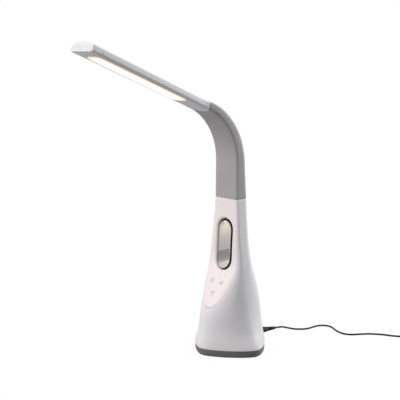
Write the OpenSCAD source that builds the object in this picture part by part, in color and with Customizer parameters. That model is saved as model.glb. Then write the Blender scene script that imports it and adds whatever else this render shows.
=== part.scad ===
// LED table lamp with a flexible arm and a bladeless fan in its stand.
// Millimetres, +Z up, origin on the table under the middle of the stand. The panel and the head face -Y.

/* [Body] */
// Height of the seam between the body and the arm
neck_z = 242.5; // [227.5:0.5:257.5]
// Width of the neck
neck_w = 50.5; // [47:0.5:54]
// Front face of the neck, ahead of the axis
neck_front = 9; // [8.5:0.1:10]
// Back face of the neck, behind the axis
neck_back = 15; // [14:0.1:17]
// Rounding of the neck's front edges
neck_front_r = 1.5; // [1:0.1:2.5]
// Rounding of the neck's back edges
neck_back_r = 5; // [3.5:0.1:6]
// Reach of the foot's side and rear corners from the axis
foot_half = 65.5; // [62:0.5:70]
// Reach of its front corner
foot_front = 60.5; // [58:0.5:66]
// Rounding of the foot's corners
foot_r = 18; // [14:0.5:22]
// Wall of the body shell
body_wall = 3; // [2.4:0.1:3.4]
// Roof of the shell, under the arm
roof_t = 4; // [3:0.1:6]

/* [Front panel] */
// Thickness of the panel
panel_t = 1.6; // [1.2:0.1:2]
// Half of its greatest width
panel_half = 32; // [28:0.5:33]
// Height where it is widest
panel_mid_z = 134.5; // [128:0.5:142]
// Height of its lowest point
panel_tip_z = 74.5; // [68:0.5:82]
// Rim of shell left beside it at the neck
panel_rim = 0.8; // [0.6:0.1:2]
// Gap round its edge
panel_gap = 0.2; // [0.1:0.05:0.4]
// Glue line behind it
glue_gap = 0.15; // [0.1:0.05:0.25]

/* [Fan window] */
// Width of the window in the panel
window_w = 36; // [32:0.5:40]
// Height of the window
window_h = 80; // [70:1:90]
// Height of the window's middle above the table
window_z = 170; // [165.5:0.5:174.5]
// Air slit between the panel and the liner
slit = 2.4; // [1.8:0.1:2.8]
// Wall of the liner
liner_wall = 1.2; // [1:0.1:1.6]
// How far the liner's ends lie inside the body's surface
liner_set = 0.3; // [0.1:0.1:1]
// Width of the night light in the liner's ceiling
night_w = 12; // [8:0.5:14]
// Depth of the night light
night_d = 12; // [8:0.5:14]

/* [Base] */
// Height of the grey base tray
base_h = 12; // [10.5:0.1:13.5]
// Set-back of the tray from the body
ring_set = 0.8; // [0.4:0.1:1.5]
// Rounding of the tray's lower edge
ring_r = 3; // [2:0.1:4]
// Wall of the tray
tray_wall = 3; // [2.4:0.1:4]
// Floor of the tray
tray_floor = 2.6; // [2.2:0.1:3.2]
// Thickness of the non-slip pad
pad_t = 2; // [1.6:0.1:2.4]
// How far the pad stands below the tray
pad_proud = 0.8; // [0.5:0.1:1]
// Set-back of the pad from the tray's edge
pad_set = 7; // [6:0.5:9]
// Thickness of the steel ballast
ballast_t = 8.5; // [6.5:0.5:9]
// Room between the ballast and the tray's wall
ballast_gap = 2; // [1:0.5:4]
// Distance of the screws from the foot's flank
screw_in = 11.3; // [11:0.1:13]
// Shank of the tray screws
screw_d = 3; // [2.5:0.1:3.5]
// Head of the tray screws
screw_head_d = 5.6; // [5:0.1:6.4]
// Length of the tray screws' shank
screw_l = 14; // [12:0.5:15]

/* [Fan] */
// Inside of the fan's housing
fan_bore = 64; // [60:0.5:66]
// Wall of the fan's housing
fan_wall = 2; // [1.5:0.1:2.5]
// Height of the housing
fan_h = 36; // [32:0.5:40]
// Space under the housing
fan_stand = 12; // [10:0.5:14]
// Diameter of the impeller
impeller_d = 56; // [50:0.5:58]
// Blades on the impeller
blades = 9; // [7:1:13]
// Height of the blades
blade_h = 12; // [8:0.5:14]
// Motor diameter
motor_d = 26; // [22:0.5:28]
// Motor height
motor_h = 12; // [10:0.5:13]
// Motor shaft
shaft_d = 3; // [2.5:0.1:3.5]
// Play of a shaft or pin in its bore, on the radius
run_play = 0.05; // [0.03:0.01:0.08]

/* [Power inlet] */
// Height of the inlet
jack_z = 14.5; // [14.1:0.1:15.5]
// Barrel of the power plug
barrel_d = 5.5; // [5:0.1:5.6]
// Length of the barrel
barrel_l = 9.5; // [8.5:0.1:10]
// Nose of the inlet, seen in the shell
jack_nose_d = 8; // [7.4:0.1:8.4]
// Grip of the plug
plug_d = 9.6; // [8.6:0.1:10.5]
// Length of the plug's grip and strain relief
plug_l = 38; // [34:0.5:42]
// How far the plug's grip hangs down, in degrees
plug_droop = 5; // [3:0.5:6]
// Cord diameter
cord_d = 3; // [2.8:0.1:3.2]
// Width of the rear air intake
intake_w = 44; // [36:0.5:48]
// Height of the rear air intake
intake_h = 36; // [30:0.5:40]
// Slots in the intake
intake_slots = 8; // [5:1:9]

/* [Arm] */
// Straight part of the arm above the seam
arm_straight = 57.5; // [50:0.5:65]
// Radius of the bend along the hinge line
arm_r = 98; // [90:0.5:110]
// Turn of the bend
arm_bend = 68; // [60:0.5:75]
// Thickness of the arm that its slope aims at, before it falls to the head
arm_t = 18; // [17:0.1:19.5]
// Distance of the first hinge from the seam
hinge_first = 35; // [33:0.5:38]
// Distance between hinges along the arm
hinge_step = 52; // [48:0.5:53]
// Travel of each hinge to either side
hinge_travel = 20; // [15:0.5:20]
// Room between the sleeves at a hinge
sleeve_gap = 0.5; // [0.4:0.05:0.6]
// Hinge pins
pin_d = 4; // [3.4:0.1:4.4]
// Width of the links
link_w = 22; // [20:0.5:24]
// Thickness of the links
link_t = 7; // [6:0.1:7.4]
// Width of a link's tongue
tongue_w = 8; // [7:0.1:9]
// Side play of a tongue in its fork
fork_play = 0.3; // [0.2:0.05:0.5]
// Barrel of a link's hinge
knuckle_d = 9; // [8:0.1:9.4]

/* [Head] */
// Length of the head
head_l = 222; // [207:0.5:240]
// Width of the head at the arm
head_root_w = 48; // [46:0.5:51]
// Width of the head at its tip
head_tip_w = 56; // [52:0.5:60]
// Thickness of the head over its crown
head_t = 14.8; // [14.2:0.1:16]
// Rounding of the tip, seen from above
head_end_r = 4; // [3:0.5:6]
// Rounding of the lower edges
head_edge_r = 2.5; // [1.5:0.1:3.5]
// Rounding of the upper edges
head_top_r = 1.2; // [0.9:0.1:1.8]
// Wall of the head's shells
head_wall = 1.8; // [1.5:0.1:2]
// Height of the parting line above the underside
parting_h = 6; // [5.5:0.1:6.5]
// Width of the diffuser
diffuser_w = 34; // [31:0.5:37]
// Length of the diffuser
diffuser_l = 168; // [150:1:175]
// Distance of the diffuser from the tip
diffuser_from_tip = 19; // [16:0.5:22]
// Corners of the diffuser
diffuser_r = 7; // [5:0.5:10]
// How far the diffuser stands out of the underside
diffuser_proud = 1.2; // [0.8:0.1:1.6]
// Edge of the diffuser that lies inside the underside
diffuser_lip = 1.2; // [0.8:0.1:1.5]
// Gap round the diffuser
diffuser_gap = 0.15; // [0.1:0.05:0.3]
// Light sources in a row
led_count = 18; // [12:1:24]
// Reach of the underside's round end over the arm
tongue_reach = 11; // [8:0.5:13]

/* [Hidden] */
$fn = 48;
eps = 0.01;
arm_hinges = 3;
sides = 40;
body_levels = 18;

function mix(a, b, share) = a + (b - a) * share;
function clamp01(t) = min(1, max(0, t));

// A closed outline is given by its outward normal: a superellipse of half width a and depth d,
// rolled out by the radius r. The power m is near 1 for a rectangle, 2 for an ellipse and high for
// a diamond, and the arcs at the corners get the points.
function outline_point(turn, a, d, m, r) =
    let (c = abs(cos(turn)), s = abs(sin(turn)), w = a - r, h = d - r,
         k = pow(pow(w * c, m) + pow(h * s, m), 1 / m - 1))
    [sign(cos(turn)) * pow(w, m) * pow(c, m - 1) * k + r * cos(turn),
     sign(sin(turn)) * pow(h, m) * pow(s, m - 1) * k + r * sin(turn)];

function outline(a, front, back, m_front, m_back, r_front, r_back) =
    [for (k = [0:sides - 1]) let (turn = (k + 0.5) * 360 / sides)
        sin(turn) < 0 ? outline_point(turn, a, front, m_front, r_front)
                      : outline_point(turn, a, back, m_back, r_back)];

// Solid through a stack of rings with as many points each.
module loft(rings) {
    n = len(rings[0]);
    last = len(rings) - 1;
    polyhedron(
        points = [for (ring = rings) each ring],
        faces = concat(
            [[for (k = [0:n - 1]) k]],
            [[for (k = [n - 1:-1:0]) last * n + k]],
            [for (i = [0:last - 1], k = [0:n - 1])
                let (a = i * n + k, b = i * n + (k + 1) % n)
                each [[a, a + n, b + n], [a, b + n, b]]]),
        convexity = 6);
}

// The body flares from the neck (0) to the foot (1): its stations, and how far each has gone.
stations = [0, 0.15, 0.3, 0.45, 0.6, 0.75, 0.9, 1];
flare_side = [0, 0.074, 0.17, 0.29, 0.388, 0.485, 0.69, 1];
flare_front = [0, 0.025, 0.067, 0.125, 0.445, 0.765, 0.89, 1];
flare_back = [0, 0.015, 0.045, 0.193, 0.525, 0.742, 0.925, 1];
flare_round = [0, 0.04, 0.1, 0.3, 0.6, 0.8, 0.93, 1];
flare_power = [1.08, 1.09, 1.14, 1.17, 1.6, 2.45, 3.55, 4.7];
flare_power_back = [1.08, 1.13, 1.2, 1.38, 1.7, 2.05, 3.4, 4.7];

function station(t, k = 0) =
    k >= len(stations) - 2 || t <= stations[k + 1] ? k : station(t, k + 1);
function slope(v, k) =
    let (a = max(k - 1, 0), b = min(k + 1, len(v) - 1)) (v[b] - v[a]) / (stations[b] - stations[a]);
function flare(v, t) =
    let (k = station(t), h = stations[k + 1] - stations[k], u = (t - stations[k]) / h)
    v[k] * (1 + 2 * u) * pow(1 - u, 2) + slope(v, k) * h * u * pow(1 - u, 2)
    + v[k + 1] * u * u * (3 - 2 * u) + slope(v, k + 1) * h * u * u * (u - 1);

function flare_at(z) = clamp01((neck_z - z) / (neck_z - base_h));
function body_front(z) = mix(neck_front, foot_front, flare(flare_front, flare_at(z)));
function body_back(z) = mix(neck_back, foot_half, flare(flare_back, flare_at(z)));
function body_side(z) = mix(neck_w / 2, foot_half, flare(flare_side, flare_at(z)));
function rolled(r, inset) = max(r - inset, 0.3);

function body_outline(z, inset) =
    let (t = flare_at(z), share = flare(flare_round, t))
    outline(body_side(z) - inset, body_front(z) - inset, body_back(z) - inset,
        flare(flare_power, t), flare(flare_power_back, t),
        rolled(mix(neck_front_r, foot_r, share), inset), rolled(mix(neck_back_r, foot_r, share), inset));

module body_solid(inset, z0, z1) {
    loft([for (k = [0:body_levels]) let (z = mix(z0, z1, k / body_levels))
        [for (p = body_outline(z, inset)) [p.x, p.y, z]]]);
}

// Outline of the foot, set in, for the pieces of the base.
module foot_plate(inset) {
    polygon(body_outline(base_h, inset));
}

// Shapes drawn as seen from the front, pushed back from plane y0 to y1.
module from_front(y0, y1) {
    translate([0, y1, 0]) rotate([90, 0, 0]) linear_extrude(y1 - y0) children();
}

module stadium(w, h) {
    square([w, h - w], center = true);
    for (end = [-1, 1]) translate([0, end * (h - w) / 2]) circle(d = w);
}

module rounded_rect(size, r) {
    square([size.x - 2 * r, size.y], center = true);
    square([size.x, size.y - 2 * r], center = true);
    for (x = [-1, 1], y = [-1, 1])
        translate([x * (size.x / 2 - r), y * (size.y / 2 - r)]) circle(r);
}

// Heights that follow from the base
tray_z = pad_proud;
floor_top = tray_z + tray_floor;
ballast_top = floor_top + ballast_t;
reach = foot_half + 10;
foot_flank = (min(foot_half, foot_front) - foot_r) * pow(2, 1 / flare_power[len(flare_power) - 1] - 0.5)
    + foot_r;
screw_ring = foot_flank - screw_in;
screw_places = [for (k = [0:3]) [screw_ring * cos(45 + 90 * k), screw_ring * sin(45 + 90 * k)]];
boss_d = 10;
boss_room = 0.5;
boss_h = fan_stand - boss_room;
screw_head_h = 2.4;
screw_seat = pad_t + screw_head_h;

module base_pad() {
    color("dimgray") linear_extrude(pad_t) foot_plate(ring_set + pad_set);
}

// Grey tray that closes the foot, with a rolled lower edge and a recess for the pad.
module base_tray() {
    color([0.36, 0.37, 0.38]) difference() {
        union() {
            difference() {
                loft([for (k = [0:5]) let (a = 18 * k, z = k < 5 ? tray_z + ring_r * (1 - cos(a)) : base_h,
                                           inset = ring_set + ring_r * (1 - sin(a)))
                    [for (p = body_outline(base_h, inset)) [p.x, p.y, z]]]);
                translate([0, 0, floor_top]) linear_extrude(base_h) foot_plate(ring_set + tray_wall);
            }
            for (p = screw_places) translate([p.x, p.y, tray_z])
                cylinder(d = boss_d, h = ballast_top - tray_z);
            translate([-jack_w / 2, jack_y0, tray_z])
                cube([jack_w, jack_l, jack_z - jack_h / 2 - tray_z]);
        }
        translate([0, 0, tray_z - 1]) linear_extrude(pad_t - tray_z + 1)
            foot_plate(ring_set + pad_set - panel_gap);
        nose_way();
        for (p = screw_places) translate([p.x, p.y, 0]) {
            cylinder(d = screw_d + 0.4, h = ballast_top + 1);
            cylinder(d = screw_head_d + 0.4, h = screw_seat);
        }
    }
}

module tray_screws() {
    color("silver") for (p = screw_places) translate([p.x, p.y, screw_seat]) {
        cylinder(d = screw_d, h = screw_l);
        translate([0, 0, -screw_head_h]) difference() {
            cylinder(d = screw_head_d, h = screw_head_h);
            for (turn = [0, 90]) rotate(turn) translate([-1.6, -0.4, -eps]) cube([3.2, 0.8, 1.2]);
        }
    }
}

module ballast_plate() {
    color("slategray") translate([0, 0, floor_top]) difference() {
        linear_extrude(ballast_t) foot_plate(ring_set + tray_wall + ballast_gap);
        for (p = screw_places)
            translate([p.x, p.y, -1]) cylinder(d = boss_d + 2 * boss_room, h = ballast_t + 2);
        translate([-jack_w / 2 - boss_room, jack_y0 - boss_room, -1])
            cube([jack_w + 2 * boss_room, reach, ballast_t + 2]);
    }
}

// Front panel: widest beside the window, and drawn in to a round point on the body's front ridge.
module panel_face(grow) {
    right = concat(
        [[neck_w / 2 - panel_rim + grow, neck_z + 1], [panel_half + grow, panel_mid_z]],
        [for (a = [7.5:7.5:82.5]) [(panel_half + grow) * cos(a),
            panel_mid_z - (panel_mid_z - panel_tip_z + grow) * sin(a)]],
        [[0, panel_tip_z - grow]]);
    polygon(concat(right, [for (k = [len(right) - 2:-1:0]) [-right[k].x, right[k].y]]));
}

module window_face(grow) {
    translate([0, window_z]) stadium(window_w + 2 * grow, window_h + 2 * grow);
}

module liner_tube(grow) {
    from_front(-reach, reach) window_face(-slit + grow);
}

// The shell: a pocket for the panel, the window right through, bosses for the tray's screws, a roof
// that carries the arm, and ways through for the intake and the power inlet.
touch_z = 105;
touch_tilt = 32;
touch_depth = 7;
module at_touch_board() {
    translate([0, -body_front(touch_z), touch_z]) rotate([-90 - touch_tilt, 0, 0])
        translate([0, 0, body_wall]) children();
}

module body_shell() {
    color([0.86, 0.86, 0.87]) difference() {
        union() {
            difference() {
                body_solid(0, base_h, neck_z);
                body_solid(body_wall, base_h - 1, neck_z - roof_t);
            }
            intersection() {
                body_solid(body_wall / 2, base_h, neck_z);
                union() {
                    for (k = [0:3]) rotate(45 + 90 * k) translate([screw_ring, 0, ballast_top]) {
                        cylinder(d = boss_d, h = boss_h);
                        translate([0, -1, 0]) cube([foot_r, 2, boss_h]);
                    }
                    for (x = [-1, 1]) at_touch_board()
                        translate([x * touch_post_x, 0, -body_wall])
                            cylinder(d = 5, h = touch_depth + body_wall);
                }
            }
        }
        difference() {
            from_front(-reach, 0) panel_face(panel_gap);
            body_solid(panel_t + glue_gap, base_h - 1, neck_z + 2);
        }
        from_front(-reach, 0) window_face(panel_gap);
        from_front(0, reach) window_face(-slit + panel_gap);
        for (p = screw_places) translate([p.x, p.y, 0])
            cylinder(d = screw_d + 2 * run_play, h = screw_seat + screw_l + 1);
        translate([-link_w / 2 - fork_play, anchor_y - link_t / 2 - fork_play, neck_z - roof_t - 1])
            cube([link_w + 2 * fork_play, link_t + 2 * fork_play, roof_t + 2]);
        for (x = [-1, 1]) translate([x * anchor_screw_x, anchor_y, 0])
            cylinder(d = screw_d + 2 * run_play, h = neck_z - 1);
        from_front(0, reach) intake_face(panel_gap);
        nose_way();
    }
}

module front_panel() {
    color([0.91, 0.88, 0.88]) difference() {
        intersection() {
            from_front(-reach, 0) panel_face(0);
            body_solid(0, base_h, neck_z);
        }
        body_solid(panel_t, base_h - 1, neck_z + 1);
        from_front(-reach, 0) window_face(0);
    }
}

// Light-grey tunnel right through the body. Air leaves by the slit round its front end.
module night_block(grow) {
    top = window_z + window_h / 2 - slit;
    translate([-night_w / 2 - grow, -night_d / 2 - grow + 1, top - 3.5 * liner_wall])
        cube([night_w + 2 * grow, night_d + 2 * grow, 6 * liner_wall]);
}

module tunnel_liner() {
    color([0.72, 0.72, 0.72]) difference() {
        intersection() {
            liner_tube(0);
            body_solid(liner_set, base_h, neck_z);
        }
        liner_tube(-liner_wall);
        night_block(panel_gap);
    }
}

module night_light_lens() {
    color([1, 0.95, 0.8]) difference() {
        intersection() {
            liner_tube(0);
            night_block(0);
        }
        liner_tube(-liner_wall);
    }
}

module night_light_board() {
    top = window_z + window_h / 2 - slit;
    color("seagreen") translate([-night_w / 2, -night_d / 2 + 1, top + panel_gap])
        cube([night_w, night_d, 1.6]);
}

// Board behind the touch symbols, on two posts of the shell, with a spring to each symbol.
touch_post_x = 15;
touch_places = [[-10.3, -9.6], [10.3, -9.6], [0, 9.6]];
touch_board_size = [38, 26, 1.2];
module touch_board() {
    color("seagreen") at_touch_board() translate([0, 0, touch_depth])
        linear_extrude(touch_board_size.z) square([touch_board_size.x, touch_board_size.y], center = true);
}

module touch_springs() {
    color("goldenrod") intersection() {
        at_touch_board() for (p = touch_places) translate([p.x, p.y, -body_wall])
            cylinder(d = 4.5, h = touch_depth + body_wall);
        body_solid(body_wall + panel_gap, base_h, neck_z);
    }
}

// The fan stands on four legs over the ballast: housing, motor, and an impeller on the motor's shaft.
fan_z = ballast_top + fan_stand;
fan_floor = 2;
motor_z = fan_z + fan_floor;
impeller_z = motor_z + motor_h + 1;
back_t = 1.5;
leg_d = 7;
leg_ring = fan_bore / 2 - leg_d / 2 - 1;
module fan_housing() {
    color("whitesmoke") {
        translate([0, 0, fan_z]) difference() {
            cylinder(d = fan_bore + 2 * fan_wall, h = fan_h, $fn = 72);
            translate([0, 0, fan_floor]) cylinder(d = fan_bore, h = fan_h, $fn = 72);
            for (k = [0:3]) rotate(90 * k) translate([motor_d / 2 + 8.5, 0, -1])
                cylinder(d = 14, h = fan_floor + 2);
        }
        for (k = [0:3]) rotate(45 + 90 * k) translate([leg_ring, 0, ballast_top])
            cylinder(d = leg_d, h = fan_stand + fan_floor / 2);
    }
}

module fan_motor() {
    color("gray") translate([0, 0, motor_z]) difference() {
        cylinder(d = motor_d, h = motor_h);
        translate([0, 0, 1]) cylinder(d = shaft_d + 2 * run_play, h = motor_h);
    }
}

module fan_shaft() {
    color("silver") translate([0, 0, motor_z + 1.2]) cylinder(d = shaft_d, h = motor_h + back_t + blade_h);
}

module fan_impeller() {
    hub_d = 16;
    color("darkgray") translate([0, 0, impeller_z]) difference() {
        union() {
            cylinder(d = impeller_d, h = back_t, $fn = 72);
            cylinder(d = hub_d, h = back_t + blade_h - 2);
            for (k = [0:blades - 1]) rotate(360 / blades * k)
                translate([hub_d / 2 - 1, -0.7, 0]) cube([impeller_d / 2 - hub_d / 2, 1.4, back_t + blade_h]);
        }
        translate([0, 0, -1]) cylinder(d = shaft_d + 2 * run_play, h = back_t + blade_h + 2);
    }
}

// Rear air intake: a patch of the shell's wall with slots across it.
intake_z = 56.5;
intake_edge = 5;
module intake_face(grow) {
    translate([0, intake_z])
        polygon([for (a = [0:10:350]) [(intake_w / 2 + grow) * cos(a), (intake_h / 2 + grow) * sin(a)]]);
}

function intake_slot(dz) = intake_w * sqrt(1 - pow(2 * dz / intake_h, 2)) - 2 * intake_edge;

module intake_grille() {
    pitch = (intake_h - intake_edge) / intake_slots;
    color([0.8, 0.8, 0.81]) difference() {
        intersection() {
            from_front(0, reach) intake_face(0);
            body_solid(0, base_h, neck_z);
        }
        body_solid(body_wall, base_h - 1, neck_z);
        from_front(0, reach) for (k = [0:intake_slots - 1])
            let (dz = pitch * (k - (intake_slots - 1) / 2))
            translate([0, intake_z + dz]) rotate(90) stadium(pitch / 2, intake_slot(dz));
    }
}

// Driver board on four standoffs under the fan.
board_size = [32, 32, 1.6];
standoff_h = 3;
standoff_places = [for (x = [-1, 1], y = [-1, 1]) [x * (board_size.x / 2 - 3), y * (board_size.y / 2 - 3)]];
module main_board() {
    color("seagreen") translate([0, 0, ballast_top + standoff_h])
        linear_extrude(board_size.z) square([board_size.x, board_size.y], center = true);
}

module board_standoffs() {
    color("goldenrod") for (p = standoff_places) translate([p.x, p.y, ballast_top])
        cylinder(d = 4.5, h = standoff_h);
}

module board_components() {
    color("black") translate([0, 0, ballast_top + standoff_h + board_size.z]) {
        translate([-8, 6, 0]) cylinder(d = 6, h = 5);
        translate([4, 2, 0]) cube([7, 7, 3.5]);
        translate([-12, -10, 0]) cube([6, 5, 1.6]);
        translate([-2, -12, 0]) cube([10, 5, 4.5]);
    }
}

// Power inlet at the rear corner, on a block of the tray, with its nose in the shell.
jack_w = 10;
jack_h = 9;
jack_l = 12;
jack_back = body_back(jack_z);
jack_y0 = jack_back - body_wall - jack_l - 3;
nose_set = 0.5;
module nose_way() {
    translate([0, jack_y0 + jack_l - 1, jack_z]) rotate([-90, 0, 0])
        cylinder(d = jack_nose_d + 2 * panel_gap, h = reach);
}

module dc_jack() {
    color([0.1, 0.1, 0.1]) difference() {
        union() {
            translate([-jack_w / 2, jack_y0, jack_z - jack_h / 2]) cube([jack_w, jack_l, jack_h]);
            translate([0, jack_y0 + jack_l - 1, jack_z]) rotate([-90, 0, 0])
                cylinder(d = jack_nose_d, h = jack_back - nose_set - jack_y0 - jack_l + 1);
        }
        translate([0, jack_back - barrel_l - 1, jack_z]) rotate([-90, 0, 0])
            cylinder(d = barrel_d + 2 * run_play, h = reach);
    }
}

// The arm follows a line that rises straight and then bends forward. s runs along it from the seam,
// and goes on along the head past the arm's end.
arm_l = arm_straight + arm_r * arm_bend * PI / 180;
hinge_s = [for (k = [0:arm_hinges - 1]) hinge_first + hinge_step * k];
function arm_turn(s) = s <= arm_straight ? 0 : min(arm_bend, (s - arm_straight) / arm_r * 180 / PI);
function arm_point(s) =
    let (turn = arm_turn(s), past = max(0, s - arm_l))
    [0, -arm_r * (1 - cos(turn)) - past * sin(turn),
     neck_z + min(s, arm_straight) + arm_r * sin(turn) + past * cos(turn)];
function on_arm(p, s) =
    let (turn = arm_turn(s), at = arm_point(s)) [p.x, at.y + p.y * cos(turn), at.z + p.y * sin(turn)];

module at_arm(s) {
    translate(arm_point(s)) rotate([arm_turn(s), 0, 0]) children();
}

// Sections of the arm and of the head: flat on the inner side, crowned on the outer side.
head_back = head_t - neck_front;
arm_crown = 1.5;
crown_power = 2.8;
function arm_share(s) = clamp01(s / arm_l);
function arm_fall(s) = pow(arm_share(s), 6);
function arm_back(s) = mix(mix(neck_back, arm_t - neck_front, arm_share(s)), head_back, arm_fall(s));
function arm_mid(s) = (arm_back(s) - neck_front) / 2;
function arm_outline(s, inset) =
    outline(mix(neck_w, head_root_w, s / arm_l) / 2 - inset, neck_front - inset, arm_back(s) - inset,
        flare_power[0], mix(mix(flare_power[0], arm_crown, arm_share(s)), crown_power, arm_fall(s)),
        rolled(mix(neck_front_r, head_edge_r, s / arm_l), inset),
        rolled(mix(neck_back_r, head_top_r, arm_fall(s)), inset));
module arm_loft(s0, s1, inset = 0) {
    steps = ceil((s1 - s0) / 8);
    loft([for (k = [0:steps]) let (s = mix(s0, s1, k / steps))
        [for (p = arm_outline(s, inset)) on_arm(p, s)]]);
}

// Hinges: place, and the direction of the straight link between two of them.
hinge_at = [for (s = hinge_s) on_arm([0, arm_mid(s)], s)];
link_drop = min(0, head_back - head_wall - link_t / 2 - 2.5);
head_pivot = on_arm([0, link_drop], arm_l + 6);
anchor_y = arm_mid(hinge_first);
link_from = [[0, anchor_y, neck_z - roof_t], hinge_at[0], hinge_at[1], hinge_at[2]];
link_to = [hinge_at[0], hinge_at[1], hinge_at[2], head_pivot];
function link_turn(k) = let (d = link_to[k] - link_from[k]) atan2(-d.y, d.z);
function link_length(k) = norm(link_to[k] - link_from[k]);
module at_link(k) {
    translate(link_from[k]) rotate([link_turn(k), 0, 0]) children();
}

knuckle_room = 1;
knuckle_end = knuckle_d / 2 + knuckle_room;
fork_cheek = (link_w - tongue_w) / 2 - fork_play;
sleeve_room = 0.6;
function knuckle_r(k) = (neck_front + arm_back(hinge_s[k])) / 2 * 0.84;
shoulder = tan(hinge_travel) * (neck_front + neck_back) / 2 + sleeve_gap;

module across(d, w, z = 0) {
    translate([-w / 2, 0, z]) rotate([0, 90, 0]) cylinder(d = d, h = w);
}

// Upper end of a link: two cheeks round the next link's tongue.
module fork(k) {
    translate([0, 0, link_length(k)]) for (x = [-1, 1])
        translate([x * (link_w - fork_cheek) / 2, 0, 0]) {
            across(knuckle_d, fork_cheek);
            translate([-fork_cheek / 2, -link_t / 2, -knuckle_end - 1])
                cube([fork_cheek, link_t, knuckle_end + 1]);
        }
}

// Lower end of a link: the tongue on its hinge pin.
module tongue() {
    across(knuckle_d, tongue_w);
    translate([-tongue_w / 2, -link_t / 2, 0]) cube([tongue_w, link_t, knuckle_end + 1]);
}

module link_bar(z0, z1) {
    translate([-link_w / 2, -link_t / 2, z0]) cube([link_w, link_t, z1 - z0]);
}

module pin_bore(z) {
    across(pin_d + 2 * run_play, link_w + 2, z);
}

// Root of the arm: a flange screwed up into the roof, and the first fork.
flange_t = 8;
flange_w = 38;
anchor_screw_x = 15;
anchor_d = link_t + 4;
module arm_anchor() {
    color("gray") at_link(0) difference() {
        union() {
            translate([-flange_w / 2, -anchor_d / 2, -flange_t]) cube([flange_w, anchor_d, flange_t]);
            link_bar(-eps, link_length(0) - knuckle_end);
            fork(0);
        }
        pin_bore(link_length(0));
        for (x = [-1, 1]) translate([x * anchor_screw_x, 0, -flange_t - 1])
            cylinder(d = screw_d + 0.4, h = flange_t + 2);
    }
}

module anchor_screws() {
    color("silver") at_link(0) for (x = [-1, 1]) translate([x * anchor_screw_x, 0, -flange_t]) {
        cylinder(d = screw_d, h = flange_t + roof_t - 1.5);
        translate([0, 0, -screw_head_h]) cylinder(d = screw_head_d, h = screw_head_h);
    }
}

module arm_link(k) {
    color("gray") at_link(k) difference() {
        union() {
            tongue();
            link_bar(knuckle_end, link_length(k) - knuckle_end);
            fork(k);
        }
        pin_bore(0);
        pin_bore(link_length(k));
    }
}

module hinge_pin(k) {
    color("silver") at_link(k - 1) across(pin_d, link_w, link_length(k - 1));
}

// Last link: a tongue, a bar into the head, and a plate that the underside is screwed to.
plate_w = 42;
plate_room = 4;
plate_t = 3.5;
plate_v = 1.5 - neck_front + head_wall;
head_screw_x = 17;
head_screw_in = 6;
module in_head(v) {
    at_arm(arm_l) translate([0, v, 0]) children();
}

module head_link() {
    plate_l = head_l - diffuser_from_tip - diffuser_l - root_wall - panel_gap - plate_room;
    color("gray") difference() {
        union() {
            at_link(3) {
                tongue();
                link_bar(knuckle_end, link_length(3) + 4);
            }
            in_head(plate_v) translate([-plate_w / 2, 0, root_wall + panel_gap])
                cube([plate_w, plate_t, plate_l]);
        }
        at_link(3) pin_bore(0);
        in_head(plate_v) for (x = [-1, 1]) translate([x * head_screw_x, -1, head_screw_in])
            rotate([-90, 0, 0]) cylinder(d = screw_d + 2 * run_play, h = plate_t + 2);
    }
}

// Grey silicone sleeve, in one length per link. Each length ends in a rounded shoulder that the next
// one turns on, and is hollow along its link.
module shoulder_round(k, grow) {
    translate(hinge_at[k]) rotate([90, 0, 90]) linear_extrude(2 * neck_w, center = true)
        polygon([for (a = [5:10:355]) (knuckle_r(k) + grow) * [cos(a), sin(a)]]);
}

module link_way(k) {
    at_link(k) translate([-link_w / 2 - sleeve_room, -link_t / 2 - sleeve_room, -2 * neck_w])
        cube([link_w + 2 * sleeve_room, link_t + 2 * sleeve_room, 4 * neck_w]);
}

module tongue_way(k) {
    wide = 2 * (knuckle_r(k) * sin(hinge_travel) + link_t / 2 + sleeve_room);
    at_link(k + 1) translate([-link_w / 2 - 2 * sleeve_room, -wide / 2, -knuckle_end])
        cube([link_w + 4 * sleeve_room, wide, 2 * knuckle_end + knuckle_r(k)]);
}

module sleeve(k, s0, s1) {
    color([0.55, 0.55, 0.56]) difference() {
        arm_loft(k == 0 ? s0 : s0 + shoulder, k < arm_hinges ? s1 + neck_front : s1);
        if (k < arm_hinges) difference() {
            at_arm(s1) translate([-neck_w, -neck_w, 0]) cube(2 * neck_w);
            shoulder_round(k, 0);
        }
        if (k > 0) shoulder_round(k - 1, sleeve_gap);
        link_way(k);
        if (k < arm_hinges) tongue_way(k);
        if (k == arm_hinges) underside_tongue(panel_gap);
    }
}

// Head: one lofted form, parted into an upper cover and an underside.
head_steps = 14;
function head_taper(x) =
    let (u = clamp01((x - head_l + head_end_r) / head_end_r)) head_end_r * (1 - sqrt(1 - u * u * 0.97));
function head_x(k) = k < 4 ? (head_l - head_end_r) * k / 4
    : head_l - head_end_r * cos(90 * (k - 4) / (head_steps - 4));
function head_outline(x, inset) =
    let (taper = head_taper(x))
    outline(mix(head_root_w, head_tip_w, x / head_l) / 2 - inset - taper, neck_front - inset,
        head_back - inset - taper, flare_power[0], crown_power,
        rolled(head_edge_r, inset), rolled(head_top_r, inset));
module head_loft(inset) {
    loft([for (k = [0:head_steps]) let (x = head_x(k), s = arm_l + x * (1 - inset / head_l))
        [for (p = head_outline(x, inset)) on_arm(p, s)]]);
}

// Half spaces of the head over and under a plane, as large blocks.
module head_block(v0, v1) {
    in_head(v0) translate([-head_tip_w, 0, -head_l]) cube([2 * head_tip_w, v1 - v0, 3 * head_l]);
}

parting_v = parting_h - neck_front;
root_wall = 2;
module root_block() {
    in_head(-head_t) translate([-head_tip_w, 0, -1]) cube([2 * head_tip_w, 2 * head_t, root_wall + 1]);
}

module root_way() {
    intersection() {
        link_way(3);
        in_head(-head_t) translate([-head_tip_w, 0, -1]) cube([2 * head_tip_w, 2 * head_t, root_wall + 2]);
    }
}

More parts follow.
